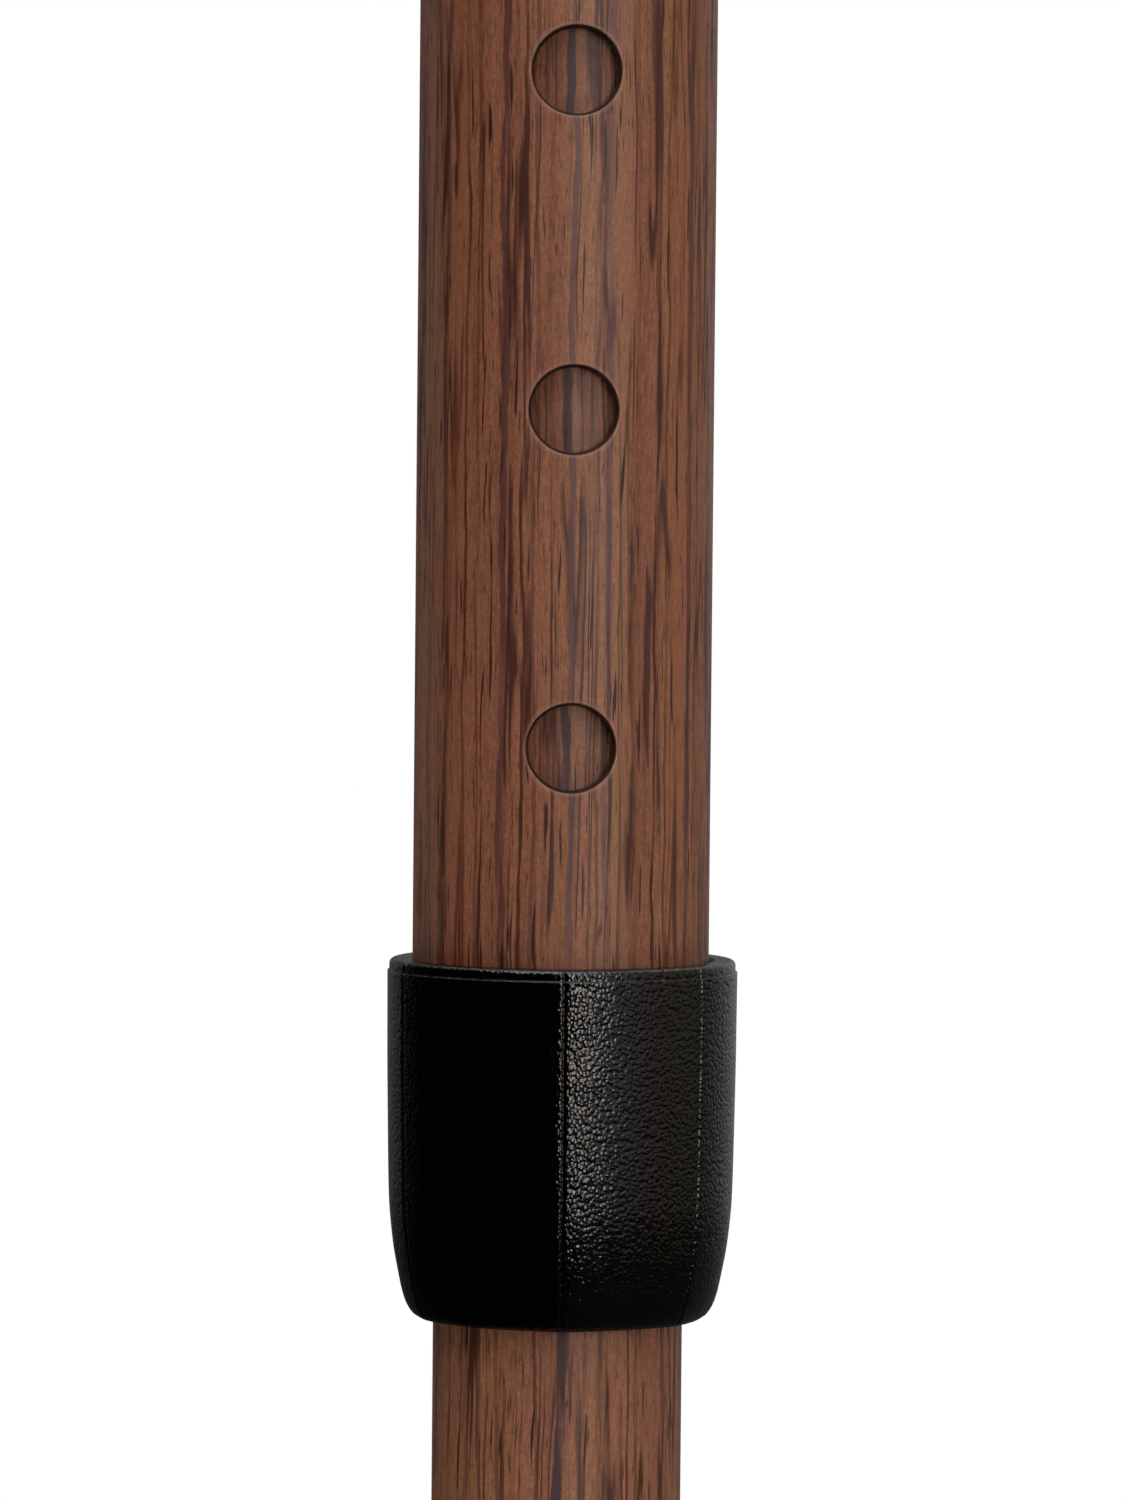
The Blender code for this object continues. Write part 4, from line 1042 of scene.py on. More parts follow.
@dataclass
class PerforatedTube:
    """A round tube with a row of holes down its front, one for each height."""

    name: str
    outer_mm: float
    inner_mm: float
    bottom: float
    top: float
    first_hole: float
    hole_mm: float
    pitch_mm: float
    count: int
    lip_mm: float = 0.06
    taper_mm: float = 0.25
    patch_mm: float = 1.6
    patch_steps: int = 16
    round_steps: int = 56
    edge_rows: int = 4
    lip_steps: int = 4
    lip_depth_mm: float = 0.2
    spoke_stops: tuple[float, ...] = (0.4, 0.7, 0.9)
    band_weld: float = 2e-6
    seam_weld: float = 4e-6

    def side_angles(self, radius_mm: float) -> list[float]:
        """Return the grid's angles, dense across the holes, from -Y towards +X.

        Args:
            radius_mm: The wall's radius.

        Returns:
            The angles in radians.
        """
        half = math.asin((self.hole_mm + self.patch_mm) / radius_mm)
        front = [half * (2.0 * k / self.patch_steps - 1.0) for k in range(self.patch_steps + 1)]
        rest = 2.0 * (math.pi - half)
        back = [half + rest * k / self.round_steps for k in range(1, self.round_steps)]
        return front + back

    def hole_band(self) -> bpy.types.Mesh:
        """Model one pitch of the tube with a hole at its middle.

        Returns:
            The band's mesh, with its hole at height 0.
        """
        shape = bmesh.new()
        shape.verts.layers.float.new("lip")
        outer = self.skin(shape, self.outer_mm, 1.0)
        inner = self.skin(shape, self.inner_mm, 0.0)
        for k in range(len(outer)):
            after = (k + 1) % len(outer)
            for spokes in (outer, inner):
                here, beside = spokes[k], spokes[after]
                for low in range(len(here) - 1):
                    shape.faces.new((here[low], beside[low], beside[low + 1], here[low + 1]))
            shape.faces.new((outer[k][-1], outer[after][-1], inner[after][-1], inner[k][-1]))
        return finished(self.name + "_band", shape, self.band_weld)

    def skin(
        self, shape: bmesh.types.BMesh, radius_mm: float, lip: float
    ) -> list[list[bmesh.types.BMVert]]:
        """Model one wall's surface and return the spokes from its hole's square to its rim.

        Args:
            shape: The mesh in the making.
            radius_mm: The wall's radius.
            lip: 1 for a wall whose hole has a rounded lip, 0 for one without.

        Returns:
            The spokes round the hole, each from the square to the rim.
        """
        radius = radius_mm * MM
        reach = (self.hole_mm + self.patch_mm) * MM
        angles = self.side_angles(radius_mm)
        half_pitch = self.pitch_mm * MM / 2.0
        steps = self.patch_steps
        inside = [reach * (2.0 * k / steps - 1.0) for k in range(steps + 1)]
        low_row = self.edge_rows
        edge = [half_pitch - (half_pitch - reach) * k / low_row for k in range(low_row)]
        heights = [-z for z in edge] + inside + edge[::-1]
        grid = [
            [shape.verts.new((radius * math.sin(a), -radius * math.cos(a), z)) for a in angles]
            for z in heights
        ]
        for row in range(len(heights) - 1):
            for column in range(len(angles)):
                if column < steps and low_row <= row < low_row + steps:
                    continue
                after = (column + 1) % len(angles)
                shape.faces.new(
                    (grid[row][column], grid[row][after], grid[row + 1][after], grid[row + 1][column])
                )
        border = [grid[low_row][k] for k in range(steps)]
        border += [grid[low_row + k][steps] for k in range(steps)]
        border += [grid[low_row + steps][steps - k] for k in range(steps)]
        border += [grid[low_row + steps - k][0] for k in range(steps)]
        return [self.spoke(shape, corner, radius, lip) for corner in border]

    def spoke(
        self, shape: bmesh.types.BMesh, corner: bmesh.types.BMVert, radius: float, lip: float
    ) -> list[bmesh.types.BMVert]:
        """Run points from the square's border to the hole, over its rounded lip.

        Args:
            shape: The mesh in the making.
            corner: The spoke's point on the square.
            radius: The wall's radius in metres.
            lip: Whether the hole has a rounded lip: 1 or 0.

        Returns:
            The spoke's points, from the square inwards.
        """
        x, _, z = corner.co
        turn = math.atan2(z, x)
        hole = self.hole_mm * MM
        round_lip = self.lip_mm * MM * lip
        start = math.hypot(x, z)
        points = [corner]
        rim = hole + round_lip if lip > 0.0 else hole - self.taper_mm * MM
        rims = [(start + (rim - start) * share, 0.0) for share in self.spoke_stops]
        if lip > 0.0:
            for step in range(self.lip_steps + 1):
                bend = math.pi / 2.0 * step / self.lip_steps
                rims.append((hole + round_lip * (1.0 - math.sin(bend)), round_lip * (1.0 - math.cos(bend))))
            rims.append((hole - 0.25 * self.taper_mm * MM, round_lip + self.lip_depth_mm * MM))
        else:
            rims.append((hole - self.taper_mm * MM, 0.0))
        layer = shape.verts.layers.float["lip"]
        for distance, depth in rims:
            px = distance * math.cos(turn)
            pz = distance * math.sin(turn)
            py = -math.sqrt(radius * radius - px * px) + depth
            point = shape.verts.new((px, py, pz))
            point[layer] = 1.0 if lip > 0.0 and distance <= rim + TOUCHING / 100.0 else 0.0
            points.append(point)
        return points

    def row(self, material: bpy.types.Material) -> bpy.types.Mesh:
        """Repeat the band up the tube with Geometry Nodes.

        Args:
            material: Its finish.

        Returns:
            The row of bands as one mesh.
        """
        sizes = {"Count": self.count, "Pitch": self.pitch_mm * MM, "First hole": self.first_hole}
        rule = RuleTree(self.name + "_row", sizes)
        tree = rule.tree
        start = add(tree, "ShaderNodeCombineXYZ", {"Z": rule.size("First hole")})
        step = add(tree, "ShaderNodeCombineXYZ", {"Z": rule.size("Pitch")})
        line = add(tree, "GeometryNodeMeshLine", (rule.size("Count"), start, step))
        band = {"Points": line, "Instance": rule.given.outputs["Geometry"]}
        rule.close(add(tree, "GeometryNodeInstanceOnPoints", band), material)
        return rule.applied(self.hole_band())

    def plain_end(self, start: float, stop: float) -> bpy.types.Mesh:
        """Model the plain tube between a height and the tube's end, with a rounded rim.

        Args:
            start: Height of the seam with the bands.
            stop: Height of the tube's end.

        Returns:
            The end's mesh, open at the seam.
        """
        shape = bmesh.new()
        away = 1.0 if stop > start else -1.0
        rim = TUBE_RIM_MM * MM
        rows: list[list[bmesh.types.BMVert]] = []
        track = [(self.outer_mm, 0.0, start), (self.outer_mm, 0.0, stop - away * 3.0 * rim)]
        for step in range(self.lip_steps + 1):
            bend = math.pi / 2.0 * step / self.lip_steps
            inset = rim * (1.0 - math.cos(bend))
            track.append((self.outer_mm, inset, stop - away * rim * (1.0 - math.sin(bend))))
        track.append((self.inner_mm, 0.0, stop))
        track.append((self.inner_mm, 0.0, start))
        for radius_mm, inset, z in track:
            radius = radius_mm * MM - inset
            rows.append(
                [
                    shape.verts.new((radius * math.sin(a), -radius * math.cos(a), z))
                    for a in self.side_angles(radius_mm)
                ]
            )
        for low, high in zip(rows, rows[1:]):
            for k in range(len(low)):
                after = (k + 1) % len(low)
                shape.faces.new((low[k], low[after], high[after], high[k]))
        return finished(self.name + "_end", shape)

    def mesh(self, material: bpy.types.Material) -> bpy.types.Mesh:
        """Join the row of bands and the two plain ends into one closed tube.

        Args:
            material: Its finish.

        Returns:
            The whole tube.
        """
        half = self.pitch_mm * MM / 2.0
        low_seam = self.first_hole - half
        high_seam = self.first_hole + (self.count - 1) * self.pitch_mm * MM + half
        parts = [
            self.row(material),
            self.plain_end(low_seam, self.bottom),
            self.plain_end(high_seam, self.top),
        ]
        return joined(self.name, parts, self.seam_weld)


@dataclass
class PlainTube:
    """A round tube with rounded ends."""

    name: str
    outer_mm: float
    inner_mm: float
    bottom: float
    top: float
    steps: int = 96

    def mesh(self) -> bpy.types.Mesh:
        """Turn the tube's wall.

        Returns:
            The tube's mesh.
        """
        outer = self.outer_mm * MM
        inner = self.inner_mm * MM
        rim = TUBE_RIM_MM * MM
        corners = [
            (outer, self.top, rim),
            (outer, self.bottom, rim),
            (inner, self.bottom, rim),
            (inner, self.top, rim),
        ]
        return lathed(self.name, filleted(corners, True), True, even_angles(self.steps))


@dataclass
class Shaft:
    """The cane's five tubes: the holed one, the one that slides in it, and three above."""

    hole_mm: float = 3.35
    hole_pitch_mm: float = 24.7
    hole_count: int = 7
    holes_below_button: int = 4
    inner_band_mm: float = 16.0
    upper_sections: tuple[int, ...] = (1, 2, 3)

    def holed(self, button_z: float, palette: Palette) -> None:
        """Make the outer tube with its row of holes.

        Args:
            button_z: Height of the hole that the button stands in.
            palette: The finishes.
        """
        low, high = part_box("adjuster_tube")
        tube = PerforatedTube(
            "holed_tube",
            TUBE_MM,
            TUBE_MM - TUBE_WALL_MM,
            low[2],
            high[2],
            button_z - self.holes_below_button * self.hole_pitch_mm * MM,
            self.hole_mm,
            self.hole_pitch_mm,
            self.hole_count,
        )
        wood = palette.outer_print
        place(tube.name, tube.mesh(wood), wood, "adjuster_section", "wood_print", ["adjuster_tube"])

    def inner(self, button_z: float, palette: Palette) -> None:
        """Make the tube that slides, with the one hole that its button comes through.

        Args:
            button_z: Height of the button.
            palette: The finishes.
        """
        low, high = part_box("lower_tube")
        tube = PerforatedTube(
            "inner_tube",
            INNER_TUBE_MM,
            INNER_TUBE_MM - INNER_WALL_MM,
            low[2],
            high[2],
            button_z,
            self.hole_mm,
            self.inner_band_mm,
            1,
        )
        wood = palette.inner_print
        place(tube.name, tube.mesh(wood), wood, "lower_section", "wood_print", ["lower_tube"])

    def build(self, palette: Palette) -> None:
        """Make the tubes.

        Args:
            palette: The finishes.
        """
        low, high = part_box("snap_button")
        button_z = (low[2] + high[2]) / 2.0
        self.holed(button_z, palette)
        self.inner(button_z, palette)
        wood = palette.upper_print
        for number in self.upper_sections:
            node = f"tube_{number}"
            low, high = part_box(node)
            tube = PlainTube(f"shaft_{node}", TUBE_MM, TUBE_MM - TUBE_WALL_MM, low[2], high[2])
            place(tube.name, tube.mesh(), wood, f"section_{number}", "wood_print", [node])


# Height lock


@dataclass
class PanelledCollar:
    """The moulded locking collar, whose side has six flattened panels with a groove between."""

    radius_mm: float = 13.4
    length_mm: float = 26.7
    rim_mm: float = 0.8
    rim_step_mm: float = 0.14
    lean_mm: float = 0.15
    lip_bore_mm: float = 11.4
    lip_mm: float = 1.6
    thread_bore_mm: float = 12.1
    foot_bore_mm: float = 9.65
    seat_floor_mm: float = 2.0
    seat_top_mm: float = 9.4
    panel_dip_mm: float = 0.3
    groove_depth_mm: float = 0.13
    groove_width_mm: float = 0.09
    bevel_depth_mm: float = 0.035
    bevel_width_mm: float = 0.26
    seam_depth_mm: float = 0.012
    # Inset from the collar's radius, and height above its foot, down the rounded side.
    side_mm: tuple[Point, ...] = (
        (0.15, 12.7), (0.22, 9.7), (0.31, 7.9), (0.58, 5.4), (0.9, 3.6), (1.28, 1.8),
        (1.62, 0.85), (2.02, 0.25),
    )
    side_step_mm: float = 0.6
    side_step_deg: float = 3.2
    groove_steps: int = 10
    groove_step_mm: float = 0.055
    panel_edges_deg: tuple[float, ...] = (-65.2, -2.7, 47.0, 114.8, 177.3, 227.0)
    seam_edges_deg: tuple[float, ...] = (-17.8, 60.3, 162.2, 240.3)

    def outline(self, base: float) -> tuple[list[Point], list[float]]:
        """Return the outline and, for each point, whether it is on the outer skin.

        Args:
            base: Height of the collar's foot.

        Returns:
            The points, and 1 for each on the outer skin or 0.
        """
        top = base + self.length_mm * MM
        r = self.radius_mm
        skin_corners = [
            (self.lip_bore_mm * MM + 0.2 * MM, top, 0.0),
            ((r - self.rim_step_mm) * MM, top, 0.75 * MM),
            ((r - self.rim_step_mm) * MM, top - self.rim_mm * MM, 0.03 * MM),
            (r * MM, top - (self.rim_mm + 0.08) * MM, 0.06 * MM),
            ((r - 0.04) * MM, top - 7.0 * MM, 0.0),
        ]
        skin_corners += [((r - inset) * MM, base + height * MM, 0.0) for inset, height in self.side_mm]
        skin_corners += [((r - 2.4) * MM, base, 0.1 * MM), ((r - 2.9) * MM, base, 0.0)]
        outer = self.relaxed(filleted(skin_corners, False), base, top)
        inner = [
            (self.foot_bore_mm * MM, base),
            (self.foot_bore_mm * MM, base + self.seat_floor_mm * MM),
            (self.thread_bore_mm * MM, base + self.seat_top_mm * MM),
            (self.thread_bore_mm * MM, top - self.lip_mm * MM),
            (self.lip_bore_mm * MM, top - self.lip_mm * MM),
            (self.lip_bore_mm * MM, top),
        ]
        skin = [1.0] * len(outer)
        skin[0] = 0.0
        skin[-1] = 0.0
        return outer + inner, skin + [0.0] * len(inner)

    def relaxed(self, points: list[Point], base: float, top: float) -> list[Point]:
        """Add points between the corners of the long sides, on a smooth curve.

        Args:
            points: The outline's outer side.
            base: Height of the collar's foot.
            top: Height of its rim.

        Returns:
            The outer side with the added points.
        """
        curve: list[Point] = []
        for index, point in enumerate(points):
            curve.append(point)
            if index + 1 == len(points):
                break
            after = points[index + 1]
            gap = math.dist(point, after)
            on_side = point[1] < top - 1.0 * MM and after[1] > base + 0.2 * MM
            if not on_side or gap < self.side_step_mm * MM or index == 0 or index + 2 >= len(points):
                continue
            before = points[index - 1]
            later = points[index + 2]
            pieces = max(2, int(gap / (self.side_step_mm * MM)))
            curve += [hermite(before, point, after, later, step / pieces) for step in range(1, pieces)]
        return curve

    def angles(self) -> list[float]:
        """Return angles round the collar, dense beside each groove and seam.

        Returns:
            The angles in radians.
        """
        steps = range(-self.groove_steps, self.groove_steps + 1)
        close = {
            round(math.radians(mark) + step * self.groove_step_mm / self.radius_mm, 6)
            for mark in self.panel_edges_deg + self.seam_edges_deg
            for step in steps
        }
        dense = sorted(close)
        angles: list[float] = []
        for here, after in zip(dense, dense[1:] + [dense[0] + 2.0 * math.pi]):
            angles.append(here)
            gap = after - here
            pieces = int(gap / math.radians(self.side_step_deg))
            angles += [here + gap * k / (pieces + 1) for k in range(1, pieces + 1)]
        return angles

    def rule(self, material: bpy.types.Material) -> RuleTree:
        """Build the tree that sinks the panels and cuts the grooves.

        Args:
            material: Its finish.

        Returns:
            The tree, ready to be applied.
        """
        sizes = {
            "Panel dip": self.panel_dip_mm * MM,
            "Groove depth": self.groove_depth_mm * MM,
            "Groove width": self.groove_width_mm * MM,
            "Bevel depth": self.bevel_depth_mm * MM,
            "Bevel width": self.bevel_width_mm * MM,
            "Seam depth": self.seam_depth_mm * MM,
        }
        for number, edge in enumerate(self.panel_edges_deg, 1):
            sizes[f"Edge {number}"] = math.radians(edge)
        for number, seam in enumerate(self.seam_edges_deg, 1):
            sizes[f"Seam {number}"] = math.radians(seam)
        rule = RuleTree("panelled_collar", sizes)
        tree = rule.tree
        split = add(tree, "ShaderNodeSeparateXYZ", (add(tree, "GeometryNodeInputPosition"),))
        first = rule.size("Edge 1")
        turn = add(tree, "ShaderNodeMath", (first, 2.0 * math.pi), operation="ADD")
        angle = add(
            tree, "ShaderNodeMath", (angle_from_front(tree, split), turn, first), operation="WRAP"
        )
        radius = distance_from_axis(tree, split)
        edges = [rule.size(f"Edge {n}") for n in range(1, len(self.panel_edges_deg) + 1)] + [turn]
        carved = (self.panels(rule, angle, edges), self.grooves(rule, angle, edges))
        sink = add(tree, "ShaderNodeMath", carved, operation="ADD")
        skin = add(tree, "GeometryNodeInputNamedAttribute", ("skin",), data_type="FLOAT")
        sink = add(tree, "ShaderNodeMath", (sink, skin), operation="MULTIPLY")
        left = add(tree, "ShaderNodeMath", (radius, sink), operation="SUBTRACT")
        scale = add(tree, "ShaderNodeMath", (left, radius), operation="DIVIDE")
        flat = [add(tree, "ShaderNodeMath", (split.outputs[a], scale), operation="MULTIPLY") for a in "XY"]
        moved = add(tree, "ShaderNodeCombineXYZ", (*flat, split.outputs["Z"]))
        shaped = {"Geometry": rule.given.outputs["Geometry"], "Position": moved}
        rule.close(add(tree, "GeometryNodeSetPosition", shaped), material)
        return rule

    def panels(self, rule: RuleTree, angle: bpy.types.Node, edges: Sequence[Any]) -> bpy.types.Node:
        """Sink each panel by half a sine between its two edges.

        Args:
            rule: The collar's tree.
            angle: Angle round the collar.
            edges: Angles of the panels' edges, with the first again after a full turn.

        Returns:
            How deep the panels sink.
        """
        tree = rule.tree
        total: Any = 0.0
        for low, high in zip(edges, edges[1:]):
            share = add(tree, "ShaderNodeMapRange", (angle, low, high, 0.0, math.pi))
            bow = add(tree, "ShaderNodeMath", (share,), operation="SINE")
            total = add(tree, "ShaderNodeMath", (total, bow), operation="ADD")
        return add(tree, "ShaderNodeMath", (total, rule.size("Panel dip")), operation="MULTIPLY")

    def grooves(self, rule: RuleTree, angle: bpy.types.Node, edges: Sequence[Any]) -> bpy.types.Node:
        """Cut a groove with bevelled sides along each edge and a hair line along each seam.

        Args:
            rule: The collar's tree.
            angle: Angle round the collar.
            edges: Angles of the panels' edges, with the first again after a full turn.

        Returns:
            How deep the cuts are.
        """
        tree = rule.tree
        seams = [rule.size(f"Seam {n}") for n in range(1, len(self.seam_edges_deg) + 1)]
        cuts = [(edge, "Groove depth", "Groove width") for edge in edges]
        cuts += [(edge, "Bevel depth", "Bevel width") for edge in edges]
        cuts += [(seam, "Seam depth", "Groove width") for seam in seams]
        total: Any = 0.0
        for mark, depth, width in cuts:
            off = add(tree, "ShaderNodeMath", (angle, mark), operation="SUBTRACT")
            arc = add(tree, "ShaderNodeMath", (off, self.radius_mm * MM), operation="MULTIPLY")
            off = add(tree, "ShaderNodeMath", (arc, rule.size(width)), operation="DIVIDE")
            square = add(tree, "ShaderNodeMath", (off, off), operation="MULTIPLY")
            fall = add(tree, "ShaderNodeMath", (square, -1.0), operation="MULTIPLY")
            bell = add(tree, "ShaderNodeMath", (fall,), operation="EXPONENT")
            cut = add(tree, "ShaderNodeMath", (bell, rule.size(depth)), operation="MULTIPLY")
            total = add(tree, "ShaderNodeMath", (total, cut), operation="ADD")
        return total

    def build(self, palette: Palette) -> None:
        """Make the collar on the lock nut's place.

        Args:
            palette: The finishes.
        """
        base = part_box("lock_nut")[0][2]
        outline, skin = self.outline(base)
        blank = lathed("panelled_collar_blank", outline, True, self.angles(), skin)
        mesh = self.rule(palette.collar).applied(blank)
        mesh.transform(Matrix.Translation((self.lean_mm * MM, 0.0, 0.0)))
        place("panelled_collar", mesh, palette.collar, "lock_nut", "black_plastic", ["lock_nut"])


def hermite(before: Point, start: Point, end: Point, after: Point, t: float) -> Point:
    """Return a point between start and end on a smooth curve through all four.

    Args:
        before: Point before the start.
        start: Start.
        end: End.
        after: Point after the end.
        t: Share of the way from start to end.

    Returns:
        The point.
    """
    result = []
    for a, b, c, d in zip(before, start, end, after):
        out = 0.5 * (c - a)
        back = 0.5 * (d - b)
        near = (2.0 * t**3 - 3.0 * t**2 + 1.0) * b + (t**3 - 2.0 * t**2 + t) * out
        result.append(near + (3.0 * t**2 - 2.0 * t**3) * c + (t**3 - t**2) * back)
    return (result[0], result[1])


@dataclass
class SnapButton:
    """The domed steel pin that stands in a height hole."""

    radius_mm: float = 3.05
    dome_mm: float = 0.9
    dome_steps: int = 8
    dome_fullness: float = 0.8
    flange_mm: float = 4.15
    flange_thick_mm: float = 1.2
    edge_mm: float = 0.2

    def build(self, palette: Palette) -> None:
        """Make the button in its own hole.

        Args:
            palette: The finishes.
        """
        low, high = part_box("snap_button")
        reach = -low[1]
        back = -high[1]
        middle = (low[2] + high[2]) / 2.0
        r = self.radius_mm * MM
        dome = self.dome_mm * MM
        shoulder = back + self.flange_thick_mm * MM
        flange = self.flange_mm * MM
        edge = self.edge_mm * MM
        outline = [(0.0, back), (flange - edge, back), (flange, back + edge), (flange, shoulder)]
        outline += [(r, shoulder), (r, reach - dome - 0.5 * edge)]
        for step in range(self.dome_steps + 1):
            bend = math.pi / 2.0 * step / self.dome_steps
            across = r * math.cos(bend) ** self.dome_fullness
            outline.append((across, reach - dome + dome * math.sin(bend)))
        outline[-1] = (0.0, reach)
        mesh = lathed("domed_button", outline, False, even_angles(48))
        mesh.transform(Matrix.Translation((0.0, 0.0, middle)) @ Matrix.Rotation(math.pi / 2.0, 4, "X"))
        steel = palette.slots[Finish.STEEL]
        place("domed_button", mesh, steel, "snap_button", "steel", ["snap_button"])


@dataclass
class LeafSpring:
    """The bent steel leaf behind the button, which gives way as the button goes in."""

    thick_mm: float = 0.5
    width_mm: float = 5.0
    edge_mm: float = 0.08
    bend_mm: float = 2.0
    flat_mm: float = 5.0
    bend_steps: int = 14
    slanting_stretch: int = 2

    def route(self, low: Vector, high: Vector) -> list[Point]:
        """Return the leaf's middle line in the plane of Y and Z.

        Args:
            low: Lowest corner of the leaf's node.
            high: Highest corner of the leaf's node.

        Returns:
            The line from the front leaf's top, round the bend, to the back leaf's top.
        """
        half = self.thick_mm / 2.0 * MM
        bend = self.bend_mm * MM
        front = low[1] + half
        back = high[1] - half
        top = high[2]
        centre = low[2] + half + bend
        line = [(front, top), (front, top - self.flat_mm * MM), (front, top - 2.0 * self.flat_mm * MM)]
        for step in range(self.bend_steps + 1):
            angle = math.pi + math.pi * step / self.bend_steps
            line.append((bend * math.cos(angle), centre + bend * math.sin(angle)))
        line.append((back, top))
        smooth = [line[0]]
        for index, (start, end) in enumerate(zip(line, line[1:])):
            pieces = max(1, round(math.dist(start, end) / MM))
            for step in range(1, pieces + 1):
                t = step / pieces
                if index == self.slanting_stretch:
                    smooth.append(hermite(line[index - 1], start, end, line[index + 2], t))
                else:
                    smooth.append((start[0] + (end[0] - start[0]) * t, start[1] + (end[1] - start[1]) * t))
        return smooth

    def build(self, palette: Palette) -> None:
        """Loft the leaf along its line and let its front follow the button.

        Args:
            palette: The finishes.
        """
        low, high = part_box("button_spring")
        route = self.route(low, high)
        wide = self.width_mm / 2.0 * MM
        deep = self.thick_mm / 2.0 * MM
        edge = self.edge_mm * MM
        section = [(wide, deep - edge), (wide - edge, deep), (edge - wide, deep), (-wide, deep - edge)]
        section += [(-wide, edge - deep), (edge - wide, -deep), (wide - edge, -deep), (wide, edge - deep)]
        shape = bmesh.new()
        rings = []
        for index, (y, z) in enumerate(route):
            before = route[max(index - 1, 0)]
            after = route[min(index + 1, len(route) - 1)]
            along = Vector((after[0] - before[0], after[1] - before[1])).normalized()
            rings.append([shape.verts.new((x, y - along.y * d, z + along.x * d)) for x, d in section])
        for first, second in zip(rings, rings[1:]):
            for step in range(len(section)):
                after_step = (step + 1) % len(section)
                shape.faces.new((first[step], first[after_step], second[after_step], second[step]))
        shape.faces.new(rings[0])
        shape.faces.new(rings[-1])
        steel = palette.slots[Finish.STEEL]
        mesh = finished("leaf_spring", shape)
        mesh.set_sharp_from_angle(angle=math.radians(40.0))
        piece = place("leaf_spring", mesh, steel, "lower_section", "steel", ["button_spring"])
        # The blend alone moves a piece between two bodies, so the parent comes off first.
        piece.parent = None
        middle = (low[2] + high[2]) / 2.0
        start = (0.0, high[1] * 0.6, middle)
        end = (0.0, low[1] + 0.8 * MM, middle)
        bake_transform(piece, "lower_section", "snap_button", start=start, end=end)


# Folding joints


@dataclass
class FoldingJoint:
    """The caps and the spigot of one folding joint."""

    number: int
    lower_body: str
    ring_mm: float = 11.6
    ring_edge_mm: float = 0.35
    skirt_mm: float = 11.25
    cap_lip_mm: float = 1.85
    cap_bore_mm: float = 9.95
    mouth_lip_mm: float = 1.2
    mouth_bore_mm: float = 10.1
    spigot_mm: float = 9.75
    shank_mm: float = 9.95
    spigot_bore_mm: float = 3.4
    chamfer_mm: float = 0.4
    shoulder_gap_mm: float = 0.15
    land_mm: float = 2.0
    nose_reach_mm: float = 20.6
    nose_steps: int = 28

    def cap(
        self, node: str, body: str, lip_mm: float, bore_mm: float, lip_on_top: bool, palette: Palette
    ) -> None:
        """Turn one of the two black end caps, with a lip over the tube's end.

        Args:
            node: The cap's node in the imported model.
            body: The body that it rides on.
            lip_mm: Thickness of the lip.
            bore_mm: Radius of the hole in the lip.
            lip_on_top: Whether the lip is at the cap's top.
            palette: The finishes.
        """
        low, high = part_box(node)
        lip_end, skirt_end = (high[2], low[2]) if lip_on_top else (low[2], high[2])
        toward = math.copysign(1.0, skirt_end - lip_end)
        under_lip = lip_end + toward * lip_mm * MM
        skirt = self.skirt_mm * MM
        ring = self.ring_mm * MM
        edge = self.ring_edge_mm * MM
        corners = [
            (ring, lip_end, edge),
            (ring - 0.02 * MM, (lip_end + skirt_end) / 2.0, 0.0),
            (ring, skirt_end, 0.6 * edge),
            (skirt, skirt_end, 0.1 * MM),
            (skirt, under_lip, 0.0),
            (bore_mm * MM, under_lip, 0.0),
            (bore_mm * MM, lip_end, edge),
        ]
        mesh = lathed(node + "_cap", filleted(corners, True), True, even_angles(96))
        material = palette.slots[Finish.BLACK_PLASTIC]
        place(node + "_cap", mesh, material, body, "black_plastic", [node])

    def spigot(self, palette: Palette) -> None:
        """Turn the aluminium spigot with its long rounded nose.

        Args:
            palette: The finishes.
        """
        node = f"spigot_{self.number}"
        low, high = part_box(node)
        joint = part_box(f"shoulder_ring_{self.number}")[1][2]
        shoulder = joint - (self.cap_lip_mm + self.shoulder_gap_mm) * MM
        bore = self.spigot_bore_mm * MM
        radius = self.spigot_mm * MM
        land = joint + self.land_mm * MM
        shank = self.shank_mm * MM
        cut = self.chamfer_mm * MM
        outline = [(bore, high[2] - cut), (bore, low[2] + cut), (bore + cut, low[2])]
        outline += [(shank - cut, low[2]), (shank, low[2] + cut)]
        outline += [(shank, shoulder), (radius, shoulder), (radius, shoulder + 0.5 * cut)]
        for step in range(self.nose_steps + 1):
            rise = step / self.nose_steps * (high[2] - land - 0.15 * MM)
            across = rise / (self.nose_reach_mm * MM)
            outline.append((radius * math.sqrt(1.0 - across * across), land + rise))
        outline += [(outline[-1][0] - 0.3 * MM, high[2]), (bore + cut, high[2])]
        mesh = lathed(f"nosed_spigot_{self.number}", outline, True, even_angles(96))
        material = palette.slots[Finish.ALUMINIUM]
        place(mesh.name, mesh, material, self.lower_body, "aluminium", [node])

    def build(self, palette: Palette) -> None:
        """Make the joint's pieces.

        Args:
            palette: The finishes.
        """
        shoulder = f"shoulder_ring_{self.number}"
        mouth = f"mouth_ring_{self.number}"
        self.cap(shoulder, self.lower_body, self.cap_lip_mm, self.cap_bore_mm, True, palette)
        self.cap(mouth, f"section_{self.number}", self.mouth_lip_mm, self.mouth_bore_mm, False, palette)
        self.spigot(palette)


